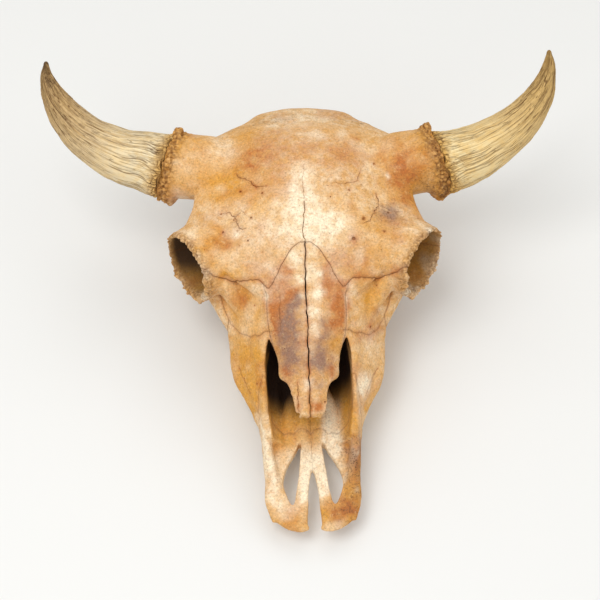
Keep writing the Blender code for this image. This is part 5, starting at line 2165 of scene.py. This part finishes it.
class Nodes:
    """Short ways to add and join a material's or a group's nodes."""

    def __init__(self, tree: NodeTree) -> None:
        """Keeps the tree that the nodes go into."""
        self.tree = tree

    def join(self, node: Node, inputs: dict) -> None:
        """Sets inputs of a node by name or number: an output socket is linked, anything else is its value.

        Args:
            node: the node.
            inputs: values or output sockets.
        """
        for key, value in inputs.items():
            if isinstance(value, NodeSocket):
                self.tree.links.new(value, node.inputs[key])
            else:
                node.inputs[key].default_value = value

    def add(self, kind: str, inputs: dict | None = None, **settings) -> Node:
        """Adds a node.

        Args:
            kind: the node's type name without its prefix.
            inputs: values or output sockets by input name or number.
            settings: the node's own properties.

        Returns:
            The node.
        """
        node = self.tree.nodes.new(kind if kind.startswith("NodeGroup") else f"ShaderNode{kind}")
        for key, value in settings.items():
            setattr(node, key, value)
        self.join(node, inputs or {})
        return node

    def math(self, operation: str, *values: Value) -> NodeSocket:
        """One sum on values or sockets, held between 0 and 1 where its name ends with CLAMPED.

        Args:
            operation: the sum's name.
            values: what it works on.

        Returns:
            The result.
        """
        name = operation.removesuffix("_CLAMPED")
        clamp = name != operation
        return self.add("Math", dict(enumerate(values)), operation=name, use_clamp=clamp).outputs[0]

    def times(self, *values: Value) -> NodeSocket:
        """The product of two values or sockets."""
        return self.math("MULTIPLY", *values)

    def line(self, value: NodeSocket, slope: float, start: Value) -> NodeSocket:
        """The straight line slope * value + start."""
        return self.math("MULTIPLY_ADD", value, slope, start)

    def contrast(self, value: NodeSocket, low: float, high: float) -> NodeSocket:
        """Stretches values between low and high softly to 0 to 1."""
        ends = {"Value": value, "From Min": low, "From Max": high}
        return self.add("MapRange", ends, interpolation_type="SMOOTHSTEP").outputs[0]

    def layers(self, colour: Colour | NodeSocket, layers: tuple) -> NodeSocket:
        """Lays tones over a colour one after another, each by its share.

        Args:
            colour: the ground.
            layers: pairs of share and tone.

        Returns:
            The colour on top.
        """
        for share, tone in layers:
            colour = self.add("Mix", {0: share, 6: colour, 7: tone}, data_type="RGBA").outputs[2]
        return colour

    def mask(self, name: str) -> NodeSocket:
        """The strength that the piece's points store under a name."""
        return self.add("Attribute", attribute_name=name).outputs["Fac"]

    def bump(self, height: NodeSocket, strength: float, distance: float) -> NodeSocket:
        """The normal that a height gives."""
        return self.add("Bump", {"Height": height, "Strength": strength, "Distance": distance}).outputs[0]


class Group(Nodes):
    """A shader node group whose outputs are numbers."""

    def __init__(self, name: str, sizes: dict, outputs: tuple) -> None:
        """Makes the group with the input Place, one for each size with its usual value, and its outputs.

        Args:
            name: the group's name.
            sizes: usual values by input name.
            outputs: names of the outputs.
        """
        super().__init__(bpy.data.node_groups.new(name, "ShaderNodeTree"))
        sockets = self.tree.interface
        sockets.new_socket("Place", in_out="INPUT", socket_type="NodeSocketVector")
        for key, value in sizes.items():
            sockets.new_socket(key, in_out="INPUT", socket_type="NodeSocketFloat").default_value = value
        for key in outputs:
            sockets.new_socket(key, in_out="OUTPUT", socket_type="NodeSocketFloat")
        self.given = self.add("NodeGroupInput").outputs
        self.out = self.add("NodeGroupOutput")

    def per(self, size: str) -> NodeSocket:
        """The scale that gives a pattern one of the group's sizes in metres."""
        return self.math("DIVIDE", 1.0, self.given[size])

    def waves(self, place: NodeSocket, size: str, detail: float, roughness: float) -> NodeSocket:
        """Noise from 0 to 1 of one of the group's sizes."""
        inputs = {"Vector": place, "Scale": self.per(size), "Detail": detail, "Roughness": roughness}
        return self.add("TexNoise", inputs).outputs[0]


def grain_group() -> NodeTree:
    """Bone grain: speckle, mottle, pores and a height, from noise and cells of named sizes in metres.

    Returns:
        The group.
    """
    sizes = {
        "Speckle size": 0.0024, "Mottle size": 0.009, "Fleck size": 0.005, "Pore size": 0.0022,
        "Pore share": 0.15,
    }
    group = Group("bone_grain", sizes, ("Speckle", "Fleck", "Mottle", "Pores", "Height"))
    place = group.given["Place"]
    speckle = group.waves(place, "Speckle size", 3.0, 0.7)
    cells = group.add("TexVoronoi", {"Vector": place, "Scale": group.per("Pore size")}).outputs
    drawn = group.add("SeparateColor", {"Color": cells["Color"]}).outputs[0]
    chosen = group.math("LESS_THAN", drawn, group.given["Pore share"])
    pores = group.times(chosen, group.math("SUBTRACT_CLAMPED", 1.0, group.times(cells["Distance"], 3.4)))
    group.join(group.out, {
        "Speckle": speckle, "Fleck": group.waves(place, "Fleck size", 5.0, 0.75),
        "Mottle": group.waves(place, "Mottle size", 4.0, 0.6), "Pores": pores,
        "Height": group.math("SUBTRACT", group.times(speckle, 0.6), pores),
    })
    return group.tree


def fibre_group() -> NodeTree:
    """Fibres along z: soft brown lines, and thin splits where noise stretched along z is near one half.

    Returns:
        The group.
    """
    sizes = {"Line size": 0.0016, "Split size": 0.0042, "Stretch": 0.045}
    group = Group("fibres", sizes, ("Lines", "Splits"))
    x, y, z = group.add("SeparateXYZ", {"Vector": group.given["Place"]}).outputs
    drawn = {"X": x, "Y": y, "Z": group.times(z, group.given["Stretch"])}
    place = group.add("CombineXYZ", drawn).outputs[0]
    off = group.math("SUBTRACT", group.waves(place, "Split size", 2.0, 0.55), 0.5)
    group.join(group.out, {
        "Lines": group.contrast(group.waves(place, "Line size", 3.0, 0.6), 0.52, 0.36),
        "Splits": group.contrast(group.math("ABSOLUTE", off), 0.016, 0.004),
    })
    return group.tree


@dataclass(frozen=True)
class Finish:
    """A dry material with the bone's grain. Each kind of finish gives its own looks."""

    name: str
    grain: NodeTree

    def build(self) -> Material:
        """The material, with the looks on its surface.

        Returns:
            The material.
        """
        finish = bpy.data.materials.new(self.name)
        finish.use_nodes = True
        nodes = Nodes(finish.node_tree)
        nodes.join(finish.node_tree.nodes["Principled BSDF"], self.looks(nodes))
        return finish

    def looks(self, nodes: Nodes) -> dict:
        """Values and sockets by the surface's input."""
        raise NotImplementedError

    def grains(self, nodes: Nodes, sizes: dict) -> dict:
        """The grain's outputs by name, for sizes that differ from its usual ones."""
        place = nodes.add("TexCoord").outputs["Object"]
        return nodes.add("Group", {"Place": place} | sizes, node_tree=self.grain).outputs


@dataclass(frozen=True)
class BoneFinish(Finish):
    """Dry stained bone: a warm tan ground with tones laid over it where the points say, painted shade and
    highlights among them.
    """

    ground: Colour = (0.640, 0.360, 0.130, 1.0)
    cream: Colour = (0.880, 0.730, 0.520, 1.0)
    gold: Colour = (0.630, 0.300, 0.045, 1.0)
    rust: Colour = (0.450, 0.150, 0.034, 1.0)
    violet: Colour = (0.290, 0.160, 0.105, 1.0)
    # the seam brown also paints shade in crevices, and dark paints shade in hollows
    suture: Colour = (0.150, 0.050, 0.010, 1.0)
    dirt: Colour = (0.110, 0.052, 0.022, 1.0)
    dark: Colour = (0.024, 0.009, 0.003, 1.0)
    pale_grain: Colour = (0.870, 0.670, 0.360, 1.0)
    brown_grain: Colour = (0.300, 0.120, 0.035, 1.0)
    fleck: Colour = (0.560, 0.215, 0.055, 1.0)
    roughness: float = 0.72
    bump: float = 0.7

    def looks(self, nodes: Nodes) -> dict:
        """Lays the tones over the ground one after another, then flecks, dirt, speckle, pores, the painted
        shade of hollows, and seams with the painted shade of crevices.

        Args:
            nodes: the material's nodes.

        Returns:
            Values and sockets by the shader's input names.
        """
        grain = self.grains(nodes, {})
        mottle = nodes.contrast(grain["Mottle"], 0.36, 0.64)
        light = nodes.contrast(grain["Speckle"], 0.50, 0.66)
        brown = nodes.contrast(grain["Speckle"], 0.47, 0.34)
        uneven = nodes.line(mottle, 0.5, 0.75)
        stained = [
            (nodes.math("MULTIPLY_CLAMPED", nodes.mask(name), uneven), getattr(self, name))
            for name in ("gold", "rust", "violet", "cream")
        ]
        colour = nodes.layers(self.ground, (
            (nodes.times(mottle, 0.4), self.cream),
            *stained,
            (nodes.times(nodes.contrast(grain["Fleck"], 0.54, 0.68), 0.25), self.pale_grain),
            (nodes.times(nodes.contrast(grain["Fleck"], 0.46, 0.32), 0.42), self.fleck),
            (nodes.math("MULTIPLY_CLAMPED", nodes.mask("dirt"), nodes.line(brown, 1.0, 0.5)), self.dirt),
        ))
        bright = nodes.line(light, 0.20, nodes.line(brown, -0.20, 1.0))
        colour = nodes.add("VectorMath", {0: colour, "Scale": bright}, operation="SCALE").outputs[0]
        colour = nodes.layers(colour, (
            (nodes.times(brown, 0.10), self.brown_grain),
            (nodes.times(grain["Pores"], 0.45), self.brown_grain),
            # painted shade: near black in the hollows, and the seam brown in the crevices of burrs and rims
            (nodes.mask("dark"), self.dark),
            (nodes.mask("seam"), self.suture),
        ))
        return {
            "Base Color": colour, "Roughness": nodes.line(light, 0.16, self.roughness),
            "Normal": nodes.bump(grain["Height"], self.bump, 0.001), "Specular IOR Level": 0.32,
        }


@dataclass(frozen=True)
class HornFinish(Finish):
    """Bare horn core: straw coloured at the seat, tan to a brown tip, with fibres, dark cracks, pores and
    painted shade.
    """

    fibres: NodeTree
    straw: Colour
    pale: Colour
    tan: Colour
    tip: Colour
    crack: Colour = (0.130, 0.055, 0.012, 1.0)
    gold: Colour = (0.620, 0.330, 0.055, 1.0)

    def looks(self, nodes: Nodes) -> dict:
        """Runs straw to tan to the tip's brown along the core, then painted shade underneath, fibres, cracks,
        pores and painted shade in the seat's crevices.

        Args:
            nodes: the material's nodes.

        Returns:
            Values and sockets by the shader's input names.
        """
        grain = self.grains(nodes, {"Speckle size": 0.0022, "Pore share": 0.4, "Mottle size": 0.009})
        laid = nodes.add("Attribute", attribute_name="fibre").outputs["Vector"]
        fibre = nodes.add("Group", {"Place": laid}, node_tree=self.fibres).outputs
        tip, crack = nodes.mask("tip"), nodes.mask("crack")
        mottle = nodes.contrast(grain["Mottle"], 0.35, 0.65)
        tipward = nodes.math("ADD", tip, nodes.line(mottle, 0.2, -0.1))
        tanned = nodes.times(nodes.contrast(tipward, 0.08, 0.85), 0.85)
        # painted shade: tan on the side of the core that faces down
        shaded = nodes.times(nodes.contrast(nodes.mask("under"), 0.35, 0.95), 0.55)
        thin = nodes.times(fibre["Splits"], nodes.line(tip, 0.35, 0.40))
        colour = nodes.layers(self.straw, (
            (mottle, self.pale),
            (nodes.math("MAXIMUM", tanned, shaded), self.tan),
            (nodes.contrast(tipward, 0.86, 1.04), self.tip),
            (nodes.times(nodes.mask("seat"), 0.8), self.gold),
            (nodes.times(fibre["Lines"], nodes.line(tip, 0.25, 0.40)), self.tan),
            (nodes.math("MAXIMUM", nodes.times(crack, 0.85), thin), self.crack),
            # painted shade between the seat's knobs, in the crack colour
            (nodes.times(nodes.mask("crevice"), 0.6), self.crack),
        ))
        height = nodes.math("SUBTRACT", nodes.times(grain["Height"], 0.6), fibre["Splits"])
        height = nodes.math("SUBTRACT", height, nodes.times(fibre["Lines"], 0.6))
        return {
            "Base Color": colour, "Roughness": nodes.line(fibre["Lines"], 0.15, 0.68),
            "Normal": nodes.bump(height, 0.8, 0.0008), "Specular IOR Level": 0.3,
        }


@dataclass(frozen=True)
class ToothFinish(Finish):
    """Old enamel and dentine: cream with brown tartar, dark in the pits."""

    enamel: Colour = (0.700, 0.600, 0.420, 1.0)
    stain: Colour = (0.170, 0.090, 0.035, 1.0)

    def looks(self, nodes: Nodes) -> dict:
        """Mixes enamel and stain by the points' darkness and by mottle.

        Args:
            nodes: the material's nodes.

        Returns:
            Values and sockets by the shader's input names.
        """
        grain = self.grains(nodes, {"Speckle size": 0.0008, "Mottle size": 0.004})
        mottle = nodes.contrast(grain["Mottle"], 0.35, 0.7)
        share = nodes.math("MINIMUM", nodes.line(mottle, 0.35, nodes.mask("dark")), 1.0)
        return {
            "Base Color": nodes.layers(self.enamel, ((share, self.stain),)),
            "Roughness": nodes.line(mottle, 0.3, 0.32), "Normal": nodes.bump(grain["Speckle"], 0.2, 0.0004),
        }


# Studio


@dataclass
class Studio:
    """A pale floor, broad soft lights and the camera at the photograph's angle."""

    camera_at: tuple = (-7.0, -695.7, 1625.1)
    camera_to: tuple = (-7.0, 231.7, 141.1)
    roll: float = 1.3
    focal: float = 1549.3
    frame_px: float = 600.0
    sensor: float = 36.0
    floor_half: float = 6.0
    floor_tone: tuple = (0.79, 0.793, 0.78, 1.0)
    surround_tone: tuple = (1.0, 0.99, 0.97, 1.0)
    surround: float = 0.62
    panels: tuple = (
        # name, place, size and power
        ("key", (-0.7, -0.45, 2.2), 1.3, 22.5), ("fill", (1.6, -0.6, 1.3), 1.6, 7.0),
        ("top", (0.1, 1.2, 2.0), 1.4, 8.0), ("front", (-0.1, -1.8, 1.0), 1.4, 5.0),
    )

    def floor(self) -> None:
        """A plain pale sheet, level with what the skull rests on."""
        half = self.floor_half
        mesh = bpy.data.meshes.new("floor")
        corners = [(-half, -half, 0), (half, -half, 0), (half, half, 0), (-half, half, 0)]
        mesh.from_pydata(corners, [], [(0, 1, 2, 3)])
        piece = new_object("floor", mesh, bpy.context.scene.collection)
        finish = bpy.data.materials.new("floor")
        finish.use_nodes = True
        surface = finish.node_tree.nodes["Principled BSDF"]
        looks = {"Base Color": self.floor_tone, "Roughness": 0.9, "Specular IOR Level": 0.1}
        Nodes(finish.node_tree).join(surface, looks)
        mesh.materials.append(finish)

    def lights(self) -> None:
        """An even pale surround and soft panels that face the skull."""
        world = bpy.data.worlds.new("surround")
        world.use_nodes = True
        back = world.node_tree.nodes["Background"]
        Nodes(world.node_tree).join(back, {"Color": self.surround_tone, "Strength": self.surround})
        bpy.context.scene.world = world
        for name, place, size, power in self.panels:
            panel = bpy.data.lights.new(name, "AREA")
            panel.size = size
            panel.energy = power
            light = new_object(name, panel, bpy.context.scene.collection)
            light.location = place
            light.rotation_mode = "QUATERNION"
            light.rotation_quaternion = (Vector((0, 0, 0.08)) - Vector(place)).to_track_quat("-Z", "Y")

    def camera(self) -> None:
        """The camera looks down at the skull as in the photograph, with its small roll."""
        start, to = ((np.array(place) + STAND) * MM for place in (self.camera_at, self.camera_to))
        ahead = Vector(to - start).normalized()
        level = ahead.cross(Vector((0, 0, 1))).normalized()
        up = level.cross(ahead)
        turn = math.radians(self.roll)
        right = level * math.cos(turn) - up * math.sin(turn)
        up = level * math.sin(turn) + up * math.cos(turn)
        lens = bpy.data.cameras.new("camera")
        lens.sensor_width = self.sensor
        lens.lens = self.focal / self.frame_px * lens.sensor_width
        lens.clip_start, lens.clip_end = 0.05, 50.0
        camera = new_object("camera", lens, bpy.context.scene.collection)
        turned = Matrix((right, up, -ahead)).transposed()
        camera.matrix_world = Matrix.Translation(start) @ turned.to_4x4()
        bpy.context.scene.camera = camera


HORN_ROUTES = {
    # reach to the side, rise along the lean, radius
    Side.RIGHT: [
        (150, 3, 37), (171, 6, 37.5), (189, 11, 35.5), (208, 16.5, 33), (226, 25, 30), (243, 36, 27),
        (258, 49, 24), (270, 64, 20.5), (280, 81, 16.5), (287, 99, 12), (291, 117, 7.2), (290.5, 129, 3.2),
    ],
    Side.LEFT: [
        (150, 1, 37), (165, 1, 37.5), (184, 5, 35.5), (203, 12.5, 33), (220, 22.5, 30), (237, 34, 27),
        (252, 47, 24.5), (265, 62.5, 21), (275, 80, 17), (281, 98.5, 12), (284, 117, 7.0), (283.5, 129, 3.0),
    ],
}

HORN_TONES = {
    # straw, pale, tan and tip
    Side.RIGHT: (
        (0.80, 0.61, 0.33, 1.0), (0.85, 0.73, 0.49, 1.0), (0.45, 0.27, 0.095, 1.0), (0.10, 0.05, 0.018, 1.0),
    ),
    Side.LEFT: (
        (0.80, 0.57, 0.25, 1.0), (0.86, 0.70, 0.39, 1.0), (0.56, 0.35, 0.115, 1.0), (0.44, 0.26, 0.08, 1.0),
    ),
}

# the snout's tip leans this far to the left, more and more towards it from this y
SNOUT_LEAN = 4.0
LEAN_FROM = 260.0
LEAN_BEND = 1.3

SHARP = math.radians(58)
MOST_TRIANGLES = 188_000


def thinned(piece: Object) -> None:
    """Thins a mesh that has more triangles than a piece may have, mostly where it is flat.

    Args:
        piece: the mesh's object.
    """
    count = sum(len(face.vertices) - 2 for face in piece.data.polygons)
    if count > MOST_TRIANGLES:
        thin = piece.modifiers.new("thin", "DECIMATE")
        thin.ratio = MOST_TRIANGLES / count
        apply_modifiers(piece)


def settle(piece: Object, node: str, finish: Material, whole: bool = True) -> None:
    """Moves a piece's mesh to the model's frame, dresses it and makes it ride.

    Args:
        piece: the finished piece.
        node: the CAD node whose slot it takes.
        finish: its material.
        whole: True where the piece stands for the node.
    """
    points = read_points(piece.data)
    points[:, 0] += SNOUT_LEAN * np.clip((LEAN_FROM - points[:, 1]) / LEAN_FROM, 0, None) ** LEAN_BEND
    write_points(piece.data, points + STAND)
    piece.data.materials.append(finish)
    piece.data.shade_smooth()
    piece.data.set_sharp_from_angle(angle=SHARP)
    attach(piece, BODY)
    if whole:
        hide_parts(node)
    log.info("%s: %d points", piece.name, len(piece.data.vertices))


def main() -> None:
    """Builds the skull's bones, horn cores and teeth, dresses them and sets up the studio."""
    logging.basicConfig(level=logging.INFO, format="%(name)s %(message)s")
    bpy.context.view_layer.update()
    for thing in [o for o in bpy.data.objects if o.name in ("Cube", "Light", "Camera")]:
        bpy.data.objects.remove(thing)
    home = new_collection("bison skull")
    grain, fibres = grain_group(), fibre_group()
    skull = Skull()
    weather = Weathering(skull)
    for node, (points, faces) in skull.bones().items():
        piece = mesh_object(f"bone_{node}", points, faces, home)
        thinned(piece)
        paint(piece, weather.tones(read_points(piece.data)))
        settle(piece, node, BoneFinish(f"bone_{node}", grain).build())
    for side in Side:
        node = f"horn_core_{side.label}"
        piece, masks = HornCore(side, HORN_ROUTES[side], skull.base).build(home)
        paint(piece, masks)
        settle(piece, node, HornFinish(node, grain, fibres, *HORN_TONES[side]).build())
        piece, masks = CheekTeeth(side).build(home)
        paint(piece, masks)
        finish = ToothFinish(f"teeth_{side.label}", grain).build()
        settle(piece, f"maxilla_{side.label}", finish, whole=False)
    studio = Studio()
    studio.floor()
    studio.lights()
    studio.camera()
    bpy.context.scene.view_settings.view_transform = "Standard"
    bpy.context.view_layer.update()


if __name__ == "__main__":
    main()
